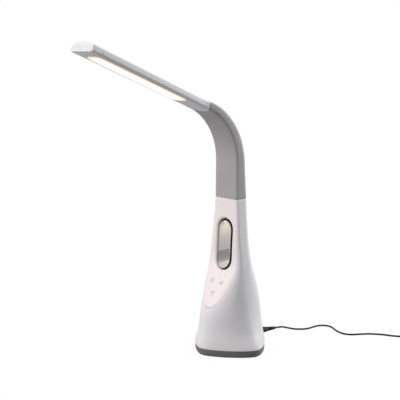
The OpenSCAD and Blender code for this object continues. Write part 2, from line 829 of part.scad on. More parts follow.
module head_cover() {
    color([0.9, 0.9, 0.91]) difference() {
        intersection() {
            head_loft(0);
            head_block(parting_v, 2 * head_t);
        }
        difference() {
            head_loft(head_wall);
            root_block();
        }
        root_way();
    }
}

module diffuser_face(grow) {
    translate([0, head_l - diffuser_from_tip - diffuser_l / 2])
        rounded_rect([diffuser_w + 2 * grow, diffuser_l + 2 * grow], diffuser_r + grow);
}

// Shapes drawn on the underside's plane, x across and y from the arm to the tip, between two heights.
module on_underside(v0, v1) {
    in_head(v1) rotate([90, 0, 0]) linear_extrude(v1 - v0) children();
}

tongue_t = 1.2;
module underside_tongue(grow) {
    r = (pow(head_root_w / 2, 2) + pow(tongue_reach, 2)) / (2 * tongue_reach);
    difference() {
        intersection() {
            arm_loft(arm_l - 2 * tongue_reach, arm_l + root_wall / 2, panel_gap - 3 * grow);
            in_head(-2 * head_t) translate([0, 0, r - tongue_reach - grow]) rotate([-90, 0, 0])
                cylinder(r = r, h = 2 * head_t - parting_h, $fn = 96);
        }
        arm_loft(arm_l - 3 * tongue_reach, arm_l + root_wall, tongue_t + grow);
    }
}

module head_underside() {
    color([0.84, 0.84, 0.86]) difference() {
        union() {
            difference() {
                intersection() {
                    head_loft(0);
                    head_block(-2 * head_t, parting_v - panel_gap);
                }
                difference() {
                    head_loft(head_wall);
                    root_block();
                }
            }
            underside_tongue(0);
            for (x = [-1, 1]) in_head(head_wall / 2 - neck_front)
                translate([x * head_screw_x, 0, head_screw_in]) rotate([-90, 0, 0])
                    cylinder(d = screw_head_d + 3, h = plate_v + neck_front - head_wall / 2);
        }
        on_underside(-2 * head_t, 0) diffuser_face(diffuser_gap);
        on_underside(lip_v, parting_v) diffuser_face(diffuser_lip + diffuser_gap);
        root_way();
        for (x = [-1, 1]) in_head(-neck_front - 1)
            translate([x * head_screw_x, 0, head_screw_in]) rotate([-90, 0, 0]) {
            cylinder(d = screw_head_d, h = head_screw_set + 1.6);
            cylinder(d = screw_d + 0.4, h = head_t);
        }
    }
}

head_screw_set = 0.8;
module head_screws() {
    color("silver") for (x = [-1, 1]) in_head(-neck_front + head_screw_set)
        translate([x * head_screw_x, 0, head_screw_in]) rotate([-90, 0, 0]) {
            cylinder(d = screw_head_d - 0.4, h = 1.4 - head_screw_set);
            cylinder(d = screw_d, h = 7);
        }
}

// Opal diffuser, with an edge that lies inside the underside, and the light sources over it.
lip_v = head_wall - neck_front;
lip_t = 1;
reflector_h = 3.4;
board_v = lip_v + lip_t + reflector_h;
module diffuser() {
    color([1, 0.98, 0.95]) {
        on_underside(-neck_front - diffuser_proud, lip_v + eps) diffuser_face(0);
        on_underside(lip_v, lip_v + lip_t) diffuser_face(diffuser_lip);
    }
}

module reflector() {
    color("white") on_underside(lip_v + lip_t, board_v) difference() {
        diffuser_face(0);
        diffuser_face(-1.5);
    }
}

module led_board() {
    color("whitesmoke") on_underside(board_v, board_v + 1.2) diffuser_face(0);
}

module led_chips() {
    pitch = (diffuser_l - 2 * diffuser_r) / (led_count - 1);
    color([1, 0.9, 0.5]) on_underside(board_v - 0.7, board_v)
        for (x = [-1, 1], k = [0:led_count - 1])
            translate([x * diffuser_w / 5, head_l - diffuser_from_tip - diffuser_r - pitch * k])
                square([3.5, 2.8], center = true);
}

// Power plug: a barrel in the inlet, and a grip that tapers to the cord. Sizes along +Y.
plug_y = jack_back + 0.9;
plug_way = [0, cos(plug_droop), -sin(plug_droop)];
cord_out = [0, plug_y, jack_z] + plug_l * plug_way;
module dc_plug() {
    color([0.06, 0.06, 0.06]) translate([0, plug_y, jack_z]) rotate([-90 - plug_droop, 0, 0]) difference() {
        rotate_extrude() polygon([[0, 0], [plug_d / 2 - 0.5, 0], [plug_d / 2, 0.5],
            [plug_d / 2, plug_l * 0.34], [plug_d / 2 - 0.6, plug_l * 0.42],
            [cord_d / 2 + 1.8, plug_l * 0.71], [cord_d / 2 + 1, plug_l], [0, plug_l]]);
        for (k = [0:3]) translate([0, 0, plug_l * (0.53 + 0.105 * k)]) difference() {
            cylinder(d = plug_d, h = 1.4);
            cylinder(d = cord_d + 2.2, h = 1.4);
        }
    }
}

module plug_barrel() {
    color("silver") translate([0, plug_y - barrel_l, jack_z]) rotate([-90, 0, 0]) difference() {
        cylinder(d = barrel_d, h = barrel_l);
        translate([0, 0, -1]) cylinder(d = 2.1, h = barrel_l - 0.5);
    }
}

// Cord: out of the plug, down to the table and away in loose curves to its coil.
cord_z = cord_d / 2;
tie_t = 0.8;
tie_gap = 0.3;
coil_start = [170, 270];
coil_z = cord_z + tie_t + tie_gap;
cord_route = concat([cord_out, cord_out + 8 * plug_way, [0, 122, 9], [0.3, 132, 6], [1.2, 141, 3]],
    [for (p = [[5, 148], [12, 151.5], [17, 157], [19, 165], [18.5, 177], [18.5, 189], [22, 199],
        [31, 203], [46, 198], [60, 192], [72, 189], [82, 191], [90, 197], [96, 207], [104, 219],
        [115, 229], [126, 236], [137, 241],
        [146, 247], [154, 254]]) [p.x, p.y, cord_z]],
    [[coil_start.x - 8, coil_start.y - 8, coil_z - 0.1],
     [coil_start.x - cord_d, coil_start.y - cord_d, coil_z]]);
cord_sides = 8;
cord_substeps = 2;

function along(route, i, u) =
    let (last = len(route) - 1, p0 = route[max(i - 1, 0)], p1 = route[i], p2 = route[i + 1],
         p3 = route[min(i + 2, last)])
    0.5 * (2 * p1 + (p2 - p0) * u + (2 * p0 - 5 * p1 + 4 * p2 - p3) * u * u
        + (3 * p1 - p0 - 3 * p2 + p3) * u * u * u);
function smoothed(route, n) =
    concat([for (i = [0:len(route) - 2], k = [0:n - 1]) along(route, i, k / n)], [route[len(route) - 1]]);
function unit(v) = v / norm(v);
function heading(line, i) = unit(line[min(i + 1, len(line) - 1)] - line[max(i - 1, 0)]);

// Round tube along a line that never stands upright.
module tube(line, d, n) {
    loft([for (i = [0:len(line) - 1])
        let (t = heading(line, i), side = unit(cross(t, [0, 0, 1])), up = cross(side, t))
        [for (k = [0:n - 1]) let (a = 90 + 180 / n * (2 * k + 1))
            line[i] + d / 2 * (cos(a) * side + sin(a) * up)]]);
}

module cord() {
    color([0.06, 0.06, 0.06]) tube(smoothed(cord_route, cord_substeps), cord_d, cord_sides);
}

// The rest of the cord, wound in a round coil: it spirals in and out at a steady rate, and climbs a
// layer in the half turn where it turns back. Its end comes down to the table beside the coil.
coil_layers = 4;
coil_turns = 3;
coil_pitch = cord_d + 0.7;
coil_r = 18;
coil_rings = 24;
coil_sides = 6;
coil_outer = coil_r + coil_pitch * coil_turns / 2;
coil_mid = coil_start + coil_outer * [cos(135), sin(135)];
coil_tail = [[0, 0], [4, 0], [10, 0.8], [18, 3.6], [26, 7], [33, 9], [38, 9.6], [42, 9.6]];

function smooth01(t) = let (u = clamp01(t)) u * u * (3 - 2 * u);
function coil_climb(u) =
    len([for (k = [1:coil_layers - 1]) if (u > k * coil_turns + 0.25) k])
    + [for (k = [1:coil_layers - 1]) if (abs(u - k * coil_turns) <= 0.25)
        smooth01((u - k * coil_turns + 0.25) * 2), 0][0];
function coil_in(u) = let (v = u % (2 * coil_turns)) min(v, 2 * coil_turns - v);
function coil_point(u) =
    let (r = coil_outer - coil_pitch * coil_in(u), a = 360 * u - 45)
    [coil_mid.x + r * cos(a), coil_mid.y + r * sin(a), coil_z + coil_pitch * coil_climb(u)];
coil_top = coil_z + coil_pitch * (coil_layers - 1);
coil_line = concat(
    [[coil_start.x - cord_d, coil_start.y - cord_d, coil_z]],
    [for (i = [0:coil_rings * coil_layers * coil_turns]) coil_point(i / coil_rings)],
    [for (k = [1:len(coil_tail) - 1]) [coil_start.x + coil_tail[k].x * cos(45),
        coil_start.y + coil_tail[k].x * sin(45), coil_top - coil_tail[k].y]]);

module cord_coil() {
    color([0.06, 0.06, 0.06]) tube(coil_line, cord_d, coil_sides);
}

// Strap round the coil, on the side away from its ends.
tie_w = 8;
module coil_tie() {
    wide = coil_pitch * coil_turns + cord_d + 2 * tie_gap;
    high = coil_pitch * (coil_layers - 1) + cord_d + 2 * tie_gap;
    color([0.12, 0.12, 0.13]) translate([coil_mid.x, coil_mid.y, 0]) rotate(135)
        translate([coil_r, 0, tie_t + high / 2]) difference() {
            cube([wide + 2 * tie_t, tie_w, high + 2 * tie_t], center = true);
            cube([wide, tie_w + 1, high], center = true);
        }
}

// Far plug, lying on the table at the end of the coil.
usb_start = coil_line[len(coil_line) - 1];
usb_relief = 8;
usb_grip_l = 26;
usb_grip_w = 16;
usb_grip_t = 8;
usb_size = [18.7, 12, 4.5];
usb_wall = 0.4;
module at_usb() {
    translate(usb_start) rotate(45) children();
}

module usb_grip() {
    color([0.06, 0.06, 0.06]) at_usb() {
        rotate([0, 90, 0]) cylinder(d = cord_d + 2, h = usb_relief + 1);
        translate([usb_relief, -usb_grip_w / 2, -usb_grip_t / 2]) cube([usb_grip_l, usb_grip_w, usb_grip_t]);
    }
}

module usb_shell() {
    color("silver") at_usb() translate([usb_relief + usb_grip_l, 0, 0]) difference() {
        translate([0, -usb_size.y / 2, -usb_size.z / 2]) cube(usb_size);
        translate([usb_size.x / 3, usb_wall - usb_size.y / 2, 0])
            cube([usb_size.x, usb_size.y - 2 * usb_wall, usb_size.z / 2 - usb_wall]);
    }
}

base_pad();
base_tray();
tray_screws();
ballast_plate();
body_shell();
front_panel();
tunnel_liner();
night_light_lens();
night_light_board();
touch_board();
touch_springs();
fan_housing();
fan_motor();
fan_impeller();
fan_shaft();
intake_grille();
main_board();
board_standoffs();
board_components();
dc_jack();
arm_anchor();
anchor_screws();
arm_link(1);  // arm_link_1
arm_link(2);  // arm_link_2
head_link();
hinge_pin(1);  // hinge_pin_1
hinge_pin(2);  // hinge_pin_2
hinge_pin(3);  // hinge_pin_3
sleeve(0, 0, hinge_s[0]);  // arm_sleeve_0
sleeve(1, hinge_s[0], hinge_s[1]);  // arm_sleeve_1
sleeve(2, hinge_s[1], hinge_s[2]);  // arm_sleeve_2
sleeve(3, hinge_s[2], arm_l);  // arm_sleeve_3
head_cover();
head_underside();
diffuser();
reflector();
led_board();
led_chips();
head_screws();
dc_plug();
plug_barrel();
cord();
cord_coil();
coil_tie();
usb_grip();
usb_shell();
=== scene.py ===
import bpy, bmesh, math
import numpy as np
from mathutils import Matrix, Vector


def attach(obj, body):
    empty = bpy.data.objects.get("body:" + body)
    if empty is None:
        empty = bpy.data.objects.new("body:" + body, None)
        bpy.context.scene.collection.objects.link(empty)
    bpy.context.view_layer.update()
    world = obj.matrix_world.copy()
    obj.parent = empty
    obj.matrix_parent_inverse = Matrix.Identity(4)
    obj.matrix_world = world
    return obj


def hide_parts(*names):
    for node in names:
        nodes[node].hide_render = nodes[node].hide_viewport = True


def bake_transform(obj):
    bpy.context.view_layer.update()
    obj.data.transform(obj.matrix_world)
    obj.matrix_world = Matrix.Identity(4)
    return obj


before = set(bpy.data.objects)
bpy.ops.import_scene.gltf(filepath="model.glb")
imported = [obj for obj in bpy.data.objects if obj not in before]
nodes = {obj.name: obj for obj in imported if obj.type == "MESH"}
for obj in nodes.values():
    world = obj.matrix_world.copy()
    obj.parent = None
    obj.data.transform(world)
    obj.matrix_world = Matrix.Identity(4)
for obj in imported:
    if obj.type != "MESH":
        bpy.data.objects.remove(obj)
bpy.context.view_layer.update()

scene = bpy.context.scene
scene.view_settings.view_transform = "Standard"

# Camera: a long lens a little above the table, looking at the corner between the front panel and
# the right side. Turn and tilt in degrees, place in millimetres in the camera's own axes.
turn, tilt = math.radians(48.974), math.radians(9.289)
sensor, focal_px, picture_px = 36, 896.387, 400
back = Vector((math.sin(turn) * math.cos(tilt), -math.cos(turn) * math.cos(tilt), math.sin(tilt)))
right = Vector((math.cos(turn), math.sin(turn), 0))
up = back.cross(right)
eye = -46.428 * right + 235.307 * up + 1431.076 * back
lens = bpy.data.cameras.new("camera")
lens.sensor_width = sensor
lens.lens = sensor * focal_px / picture_px
lens.clip_end = 200
camera = bpy.data.objects.new("camera", lens)
scene.collection.objects.link(camera)
camera.matrix_world = Matrix([[right[i], up[i], back[i], eye[i] / 1000] for i in range(3)] + [[0, 0, 0, 1]])
scene.camera = camera


# A socket of a material, with arithmetic: an expression on it adds its Math nodes, and node() adds
# any other node from its type, its settings and what goes into its sockets.
class Field:
    def __init__(self, tree, socket=None):
        self.tree, self.socket = tree, socket

    def node(self, kind, settings=None, inputs=None, out=0):
        made = self.tree.nodes.new(kind)
        for key, value in (settings or {}).items():
            setattr(made, key, value)
        for key, value in (inputs or {}).items():
            if isinstance(value, Field):
                self.tree.links.new(value.socket, made.inputs[key])
            else:
                made.inputs[key].default_value = value
        return Field(self.tree, made.outputs[out])

    def math(self, operation, *others):
        return self.node("ShaderNodeMath", {"operation": operation}, dict(enumerate((self, *others))))

    def __add__(self, other): return self.math("ADD", other)
    def __mul__(self, other): return self.math("MULTIPLY", other)
    def __sub__(self, other): return self.math("SUBTRACT", other)
    def __pow__(self, other): return self.math("POWER", other)
    def __abs__(self): return self.math("ABSOLUTE")

    def __rsub__(self, other):
        return self.node("ShaderNodeMath", {"operation": "SUBTRACT"}, {0: other, 1: self})

    def between(self, low, high):
        return self.node("ShaderNodeMapRange", {"interpolation_type": "SMOOTHSTEP"}, {0: self, 1: low, 2: high})

    def mix(self, first, second):
        return self.node("ShaderNodeMix", {"data_type": "RGBA"}, {0: self, 6: first, 7: second}, 2)

    def noise(self, size, detail=3):
        return self.node("ShaderNodeTexNoise", None,
                         {"Vector": self, "Scale": 1 / size, "Detail": detail, "Roughness": 0.5})

    def bump(self, height, distance, strength=1.0):
        return self.node("ShaderNodeBump", None, {"Height": height, "Distance": distance, "Strength": strength})


def finish(name):
    made = bpy.data.materials.new(name)
    made.use_nodes = True
    return made, Field(made.node_tree).node("ShaderNodeTexCoord", out="Object")


def shade(made, **looks):
    shader = made.node_tree.nodes["Principled BSDF"]
    for key, value in looks.items():
        socket = shader.inputs[key.replace("_", " ")]
        if isinstance(value, Field):
            made.node_tree.links.new(value.socket, socket)
        else:
            socket.default_value = value
    return made


def paint(code):
    part = [int(code[k:k + 2], 16) / 255 for k in (0, 2, 4)]
    return [c / 12.92 if c <= 0.04045 else ((c + 0.055) / 1.055) ** 2.4 for c in part] + [1]


# Room: a white table top that fades to pure white with distance, soft boxes to the left and the right, a
# weak one above and a little light from all round. Light that bounces off matt surfaces finds it greyer.
def seen_straight(field):
    camera_ray, glossy, through_glass = [field.node("ShaderNodeLightPath", out=f"Is {kind} Ray")
                                         for kind in ("Camera", "Glossy", "Transmission")]
    return camera_ray + glossy + through_glass


room_half, fade_from, fade_to, table_glow = 60, 0.12, 0.9, 0.93
corners = [(x * room_half, y * room_half, 0) for x, y in ((-1, -1), (1, -1), (1, 1), (-1, 1))]
floor = bpy.data.objects.new("table_top", bpy.data.meshes.new("table_top"))
floor.data.from_pydata(corners, [], [(0, 1, 2, 3)])
scene.collection.objects.link(floor)
table, place = finish("white_table")
camera_ray = place.node("ShaderNodeLightPath", out="Is Camera Ray")
shade(table, Base_Color=camera_ray.mix(paint("808080"), paint("ffffff")), Roughness=0.9)
far = place.node("ShaderNodeVectorMath", {"operation": "LENGTH"}, {0: place}, 1).between(fade_from, fade_to)
lit = seen_straight(place) * (far * (1 - table_glow) + table_glow)
bright = Field(table.node_tree).node("ShaderNodeEmission", None, {"Color": (1, 1, 1, 1), "Strength": 1.0})
plain = Field(table.node_tree, table.node_tree.nodes["Principled BSDF"].outputs[0])
table.node_tree.links.new(
    plain.node("ShaderNodeMixShader", None, {0: lit, 1: plain, 2: bright}).socket,
    table.node_tree.nodes["Material Output"].inputs["Surface"])
table.cycles.emission_sampling = "NONE"
floor.data.materials.append(table)

world = bpy.data.worlds.new("room")
world.use_nodes = True
scene.world = world
air = Field(world.node_tree)
soft = air.node("ShaderNodeBackground", None, {"Color": (1, 1, 1, 1), "Strength": 0.49})
white = air.node("ShaderNodeBackground", None, {"Color": (1, 1, 1, 1), "Strength": 1.0})
straight = seen_straight(air).math("MINIMUM", 1.0)
world.node_tree.links.new(
    air.node("ShaderNodeMixShader", None, {0: straight, 1: soft, 2: white}).socket,
    world.node_tree.nodes["World Output"].inputs["Surface"])

middle = Vector((0, -0.05, 0.22))
ahead = Vector((math.sin(turn), -math.cos(turn), 0))
for name, along, across, height, width, tall, tint, watts in (
        ("soft_box_left", 0.72, -2.05, 1.1, 1.4, 2.2, (1.0, 0.96, 0.957), 41.0),
        ("soft_box_right", -0.4, 1.0, 0.4, 0.4, 1.2, (0.97, 0.985, 1.0), 9.3),
        ("soft_box_top", -0.3, -0.1, 1.3, 0.8, 0.8, (1.0, 1.0, 1.0), 4.5)):
    lamp = bpy.data.lights.new(name, "AREA")
    lamp.shape, lamp.size, lamp.size_y, lamp.color, lamp.energy = "RECTANGLE", width, tall, tint, watts
    box = bpy.data.objects.new(name, lamp)
    scene.collection.objects.link(box)
    box.location = middle + along * ahead + across * right + Vector((0, 0, height))
    box.rotation_euler = (box.location - middle).to_track_quat("Z", "Y").to_euler()

# Power cord: 3 mm round, black, out of the plug, down to the table, away in loose curves and then
# into a tied coil: three turns a layer, four layers, in and out, with its end beside the coil.
black, place = finish("cord_black")
worn = place.noise(0.012)
shade(black, Base_Color=worn.mix(paint("0a090b"), paint("121114")),
      Roughness=worn.between(0.3, 0.8) * 0.15 + 0.42,
      Normal=place.bump(place.noise(0.0006), 0.0001, 0.3), Specular_IOR_Level=0.2)

cord_d = 3.0
droop = math.radians(5)
plug_at, plug_l = np.array((0.0, 66.0, 14.5)), 38.0
plug_way = np.array((0.0, math.cos(droop), -math.sin(droop)))
cord_out = plug_at + plug_l * plug_way
coil_start, coil_z, coil_pitch, coil_outer = np.array((170.0, 270.0)), 2.6, 3.7, 23.55
coil_turns, layer_turns, turn_steps = 12, 3, 48
route = [tuple(cord_out), tuple(cord_out + 8 * plug_way), (0, 121.5, 9.2), (0.3, 131, 6.2), (1.6, 139.2, 3.5)]
route += [(x, y, cord_d / 2) for x, y in (
    (5.4, 146.8), (10.8, 152), (15.5, 157.8), (18.2, 165.6), (18.5, 176.5), (18.5, 186.2), (20.6, 194.6),
    (26.4, 200.8), (34.6, 202.8), (44, 200), (52, 195.8), (60, 192), (72, 189), (82, 191), (90, 197),
    (96, 207), (104, 219), (115, 229), (126, 236), (137, 241), (146, 247), (154, 254))]
route += [(162, 262, 2.5), (167, 267, 2.6)]


def through(points, steps):
    p = np.array(points, float)
    p = np.vstack([p[:1], p, p[-1:]])
    line = []
    for k in range(1, len(p) - 2):
        for u in np.arange(steps) / steps:
            line.append(0.5 * (2 * p[k] + (p[k + 1] - p[k - 1]) * u
                               + (2 * p[k - 1] - 5 * p[k] + 4 * p[k + 1] - p[k + 2]) * u ** 2
                               + (3 * p[k] - p[k - 1] - 3 * p[k + 1] + p[k + 2]) * u ** 3))
    return np.vstack([line, p[-1:]])


def ease(share):
    share = np.clip(share, 0, 1)
    return share ** 2 * (3 - 2 * share)


winding = np.arange(0, coil_turns * turn_steps + 1) / turn_steps
inward = winding % (2 * layer_turns)
radius = coil_outer - coil_pitch * np.minimum(inward, 2 * layer_turns - inward)
climb = sum(ease((winding - k + 0.25) * 2) for k in range(layer_turns, coil_turns, layer_turns))
angle = 2 * math.pi * winding - math.pi / 4
coil_mid = coil_start + coil_outer * np.array((-1, 1)) / math.sqrt(2)
coil = np.c_[coil_mid[0] + radius * np.cos(angle), coil_mid[1] + radius * np.sin(angle), coil_z + coil_pitch * climb]
tail_top = coil_z + 3 * coil_pitch
tail = through([(coil_start[0] + d * math.sqrt(0.5), coil_start[1] + d * math.sqrt(0.5), tail_top - drop)
                for d, drop in ((4, 0), (10, 0.8), (18, 3.6), (26, 7), (33, 9), (38, 9.6), (42, 9.6))], 4)
cord_line = np.vstack([through(route, 5), coil, tail])


def wire(name, lines, thick, material, body, slot, *replaced):
    curve = bpy.data.curves.new(name, "CURVE")
    curve.dimensions, curve.bevel_depth, curve.bevel_resolution = "3D", thick / 2000, 3
    curve.use_fill_caps = True
    for line in lines:
        spline = curve.splines.new("POLY")
        spline.points.add(len(line) - 1)
        spline.points.foreach_set("co", np.c_[np.asarray(line) / 1000, np.ones(len(line))].ravel())
    piece = bpy.data.objects.new(name, curve)
    scene.collection.objects.link(piece)
    curve.materials.append(material)
    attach(piece, body)
    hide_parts(*replaced)
    return piece


power_cord = wire("power_cord", [cord_line], cord_d, black, "stand", "cord_black", "cord", "cord_coil")

# Non-slip pad: a soft grey sheet let into the underside of the base, which alone touches the table. The
# foot is a diamond with round corners; all outlines of the stand come from the same sections.
steps = np.array((0, 0.15, 0.3, 0.45, 0.6, 0.75, 0.9, 1))
side_flare = (0, 0.074, 0.17, 0.29, 0.388, 0.485, 0.69, 1)
front_flare = (0, 0.025, 0.067, 0.125, 0.445, 0.765, 0.89, 1)
back_flare = (0, 0.015, 0.045, 0.193, 0.525, 0.742, 0.925, 1)
round_flare = (0, 0.04, 0.1, 0.3, 0.6, 0.8, 0.93, 1)
front_power = (1.08, 1.09, 1.14, 1.17, 1.6, 2.45, 3.55, 4.7)
back_power = (1.08, 1.13, 1.2, 1.38, 1.7, 2.05, 3.4, 4.7)
neck_z, neck_half, neck_front, neck_back = 242.5, 25.25, 9.0, 15.0
base_h, foot_half, foot_front = 12.0, 65.5, 60.5
ridge_r, back_r, foot_r, least_r = 1.5, 5.0, 18.0, 0.3


def flare(values, t):
    v = np.array(values, float)
    k = min(int(np.searchsorted(steps, t, "right")) - 1, len(steps) - 2)
    lean = np.array([(v[min(j + 1, len(v) - 1)] - v[max(j - 1, 0)])
                     / (steps[min(j + 1, len(v) - 1)] - steps[max(j - 1, 0)]) for j in (k, k + 1)])
    h = steps[k + 1] - steps[k]
    u = (t - steps[k]) / h
    return (v[k] * (1 + 2 * u) * (1 - u) ** 2 + lean[0] * h * u * (1 - u) ** 2
            + v[k + 1] * u * u * (3 - 2 * u) + lean[1] * h * u * u * (u - 1))


def quarter(half, depth, power, r):
    a, b, p = half - r, depth - r, power / (power - 1)
    lin = np.linspace(0, 1, 90)
    phi = np.radians(np.linspace(0.2, 89.8, 90))
    c, s = a * np.cos(phi), b * np.sin(phi)
    scale = (c ** power + s ** power) ** ((1 - power) / power)
    u = np.concatenate([lin, (1 - lin ** p) ** (1 / p), c ** (power - 1) * scale])
    w = np.concatenate([(1 - lin ** p) ** (1 / p), lin, s ** (power - 1) * scale])
    order = np.argsort(u - w)
    u, w = u[order], w[order]
    n = np.c_[u ** (p - 1) / a, w ** (p - 1) / b]
    n /= np.linalg.norm(n, axis=1)[:, None]
    return np.c_[a * u, b * w] + r * n


def half_section(half, front, rear, power_front, power_rear, r_front, r_rear):
    ahead = quarter(half, front, power_front, r_front) * (1, -1)
    behind = quarter(half, rear, power_rear, r_rear)[::-1]
    return np.vstack([ahead, behind[1:]])


def body_section(z, inset=0.0):
    t = min(max((neck_z - z) / (neck_z - base_h), 0), 1)
    half = neck_half + (foot_half - neck_half) * flare(side_flare, t) - inset
    front = neck_front + (foot_front - neck_front) * flare(front_flare, t) - inset
    rear = neck_back + (foot_half - neck_back) * flare(back_flare, t) - inset
    rounds = [max(r + (foot_r - r) * flare(round_flare, t) - inset, least_r) for r in (ridge_r, back_r)]
    return half_section(half, front, rear, flare(front_power, t), flare(back_power, t), *rounds)


def arcs(line):
    return np.concatenate([[0], np.cumsum(np.linalg.norm(np.diff(line, axis=0), axis=1))])


def spread(line, at):
    run = arcs(line)
    return np.c_[np.interp(at, run, line[:, 0]), np.interp(at, run, line[:, 1])]


def ring(half, count):
    even = spread(half, np.linspace(0, arcs(half)[-1], count))
    return np.vstack([even, (even * (-1, 1))[-2:0:-1]])


weld = 0.000004


def make(name, points, faces, material, body, slot, replaced=(), sharp=35):
    mesh = bpy.data.meshes.new(name)
    corners = [tuple(p) for p in np.asarray(points, float) / 1000]
    mesh.from_pydata(corners, [], [tuple(int(i) for i in f) for f in faces])
    work = bmesh.new()
    work.from_mesh(mesh)
    bmesh.ops.remove_doubles(work, verts=work.verts, dist=weld)
    bmesh.ops.recalc_face_normals(work, faces=work.faces)
    work.to_mesh(mesh)
    work.free()
    mesh.shade_smooth()
    mesh.set_sharp_from_angle(angle=math.radians(sharp))
    piece = bpy.data.objects.new(name, mesh)
    scene.collection.objects.link(piece)
    mesh.materials.append(material)
    if body:
        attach(piece, body)
    if replaced:
        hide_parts(*replaced)
    return piece


def grid(rows, wrap=False):
    rows = np.asarray(rows, float)
    tall, wide = rows.shape[:2]
    faces = []
    for i in range(tall - 1):
        low, high = i * wide, (i + 1) * wide
        faces += [(low + k, low + (k + 1) % wide, high + (k + 1) % wide, high + k)
                  for k in range(wide if wrap else wide - 1)]
    return rows.reshape(-1, 3), faces


def closed(rows):
    points, faces = grid(rows, True)
    wide = len(rows[0])
    return points, faces + [tuple(range(wide)), tuple(range(len(points) - wide, len(points)))]


def joined(*parts):
    points, faces = [], []
    for p, f in parts:
        faces += [tuple(i + len(points) for i in face) for face in f]
        points += list(p)
    return points, faces


def level(points, z):
    return np.c_[points, np.full(len(points), z)]


def foot_rings(profile):
    return [level(ring(body_section(base_h, inset), 80), z) for inset, z in profile]


foam, place = finish("pad_foam")
cells = place.node("ShaderNodeTexVoronoi", None, {"Vector": place, "Scale": 900.0})
shade(foam, Base_Color=cells.mix(paint("4a4a4c"), paint("6a6a6c")), Roughness=0.85,
      Normal=place.bump(cells, 0.0003, 0.5))
pad_profile = [(8.6, 0), (8.1, 0.15), (7.8, 0.5), (7.8, 2.0)]
make("base_pad_sheet", *closed(foot_rings(pad_profile)), foam, "stand", "pad", ["base_pad"])

# Base tray: moulded in mid grey with a fine satin skin, rolled in at its lower edge, set back a hair
# from the white shell so that a thin dark seam runs round the foot.
grey, place = finish("base_grey")
skin, cloud = place.noise(0.0004, 4), place.noise(0.03)
shade(grey, Base_Color=cloud.mix(paint("5c5d60"), paint("66676a")), Roughness=skin * 0.12 + 0.48,
      Normal=place.bump(skin, 0.00008, 0.5), Specular_IOR_Level=0.25)
set_back, roll_r = 0.8, 3
roll = [(set_back + roll_r * (1 - math.sin(a)), 0.8 + roll_r * (1 - math.cos(a)))
        for a in np.radians(np.arange(0, 91, 10))]
tray_profile = [(7.6, 2.0), (7.6, 0.8)] + roll + [(set_back, 11.5), (1.0, 11.85), (2.2, 11.95), (5.0, 11.95)]
make("base_ring", *closed(foot_rings(tray_profile)), grey, "stand", "base_grey", ["base_tray"])

# Ballast plate and the tray's four screws: zinc-plated steel with a faint brushed grain, out of sight
# inside the foot. They keep the solids of the frame.
zinc, place = finish("zinc_plate")
brush = place.node("ShaderNodeMapping", None, {"Vector": place, "Scale": (40.0, 1.0, 1.0)}).noise(0.01)
shade(zinc, Base_Color=brush.mix(paint("a9abae"), paint("c4c6c8")), Metallic=1.0, Roughness=brush * 0.2 + 0.28)


def dress(material, *names):
    for name in names:
        nodes[name].data.materials.clear()
        nodes[name].data.materials.append(material)


dress(zinc, "ballast_plate", "tray_screws")

# Body shell: white plastic with a satin skin, moulded as a hollow flare from the flat neck to the foot.
# The front is cut back for the panel, and the rear is open for the tunnel and the intake.
satin, place = finish("satin_white")
peel, cloud = place.noise(0.0011, 2), place.noise(0.05)
height = place.node("ShaderNodeSeparateXYZ", None, {0: place}, 2)
# The white turns darker in cloudy patches from about 33 mm down towards the foot.
darker_near_foot = (1 - height.between(0.01, 0.033)) * cloud
shade(satin, Base_Color=darker_near_foot.mix(paint("e3e2e5"), paint("d6d4d5")), Roughness=cloud * 0.08 + 0.42,
      Normal=place.bump(peel, 0.00005, 0.25), Specular_IOR_Level=0.22)

panel_half, panel_mid, panel_tip = 32.0, 134.5, 74.5
window_z, window_w, window_h, slit = 170.0, 33.0, 80.5, 3.2
intake_z, intake_w, intake_h = 56.5, 44.0, 36.0


def panel_edge(z, grow):
    if z >= panel_mid:
        return panel_half + (neck_half - 0.8 - panel_half) * (z - panel_mid) / (neck_z + 1 - panel_mid) + grow
    down = (panel_mid - z) / (panel_mid - panel_tip + grow)
    return (panel_half + grow) * math.sqrt(max(0, 1 - down * down))


def window_edge(z, grow):
    r, straight = window_w / 2 + grow, (window_h - window_w) / 2
    past = max(abs(z - window_z) - straight, 0)
    return math.sqrt(max(0, r * r - past * past))


def intake_edge(z, grow):
    return (intake_w / 2 + grow) * math.sqrt(max(0, 1 - ((z - intake_z) / (intake_h / 2 + grow)) ** 2))


def end_rows(low, high, r):
    bend = np.linspace(0, math.pi / 2, 14)
    return np.concatenate([low + r * (1 - np.cos(bend)), high - r * (1 - np.cos(bend))])


def levels(*groups):
    every = np.unique(np.round(np.concatenate(groups), 3))
    return every[np.concatenate([[True], np.diff(every) > 0.02])]


def half_strip(z, inner, outer, count, inset=0.0):
    line = body_section(z, inset)
    widest, run = int(np.argmax(line[:, 0])), arcs(line)
    first = np.interp(inner, line[:widest, 0], run[:widest])
    last = np.interp(-outer, -line[widest:, 0], run[widest:])
    return level(spread(line, np.linspace(first, last, count)), z)


def both_sides(rows):
    rows = np.asarray(rows)
    return joined(grid(rows), grid(rows * (-1, 1, 1)))


def tip_rows(grow, count):
    return panel_mid - (panel_mid - panel_tip + grow) * np.sin(np.linspace(0, math.pi / 2, count))


def settle(piece):
    mesh = bpy.data.meshes.new_from_object(piece.evaluated_get(bpy.context.evaluated_depsgraph_get()))
    piece.modifiers.clear()
    piece.data = mesh
    return piece


def thicken(piece, wall):
    rule = piece.modifiers.new("wall", "SOLIDIFY")
    rule.thickness, rule.offset = wall / 1000, -1
    return settle(piece)


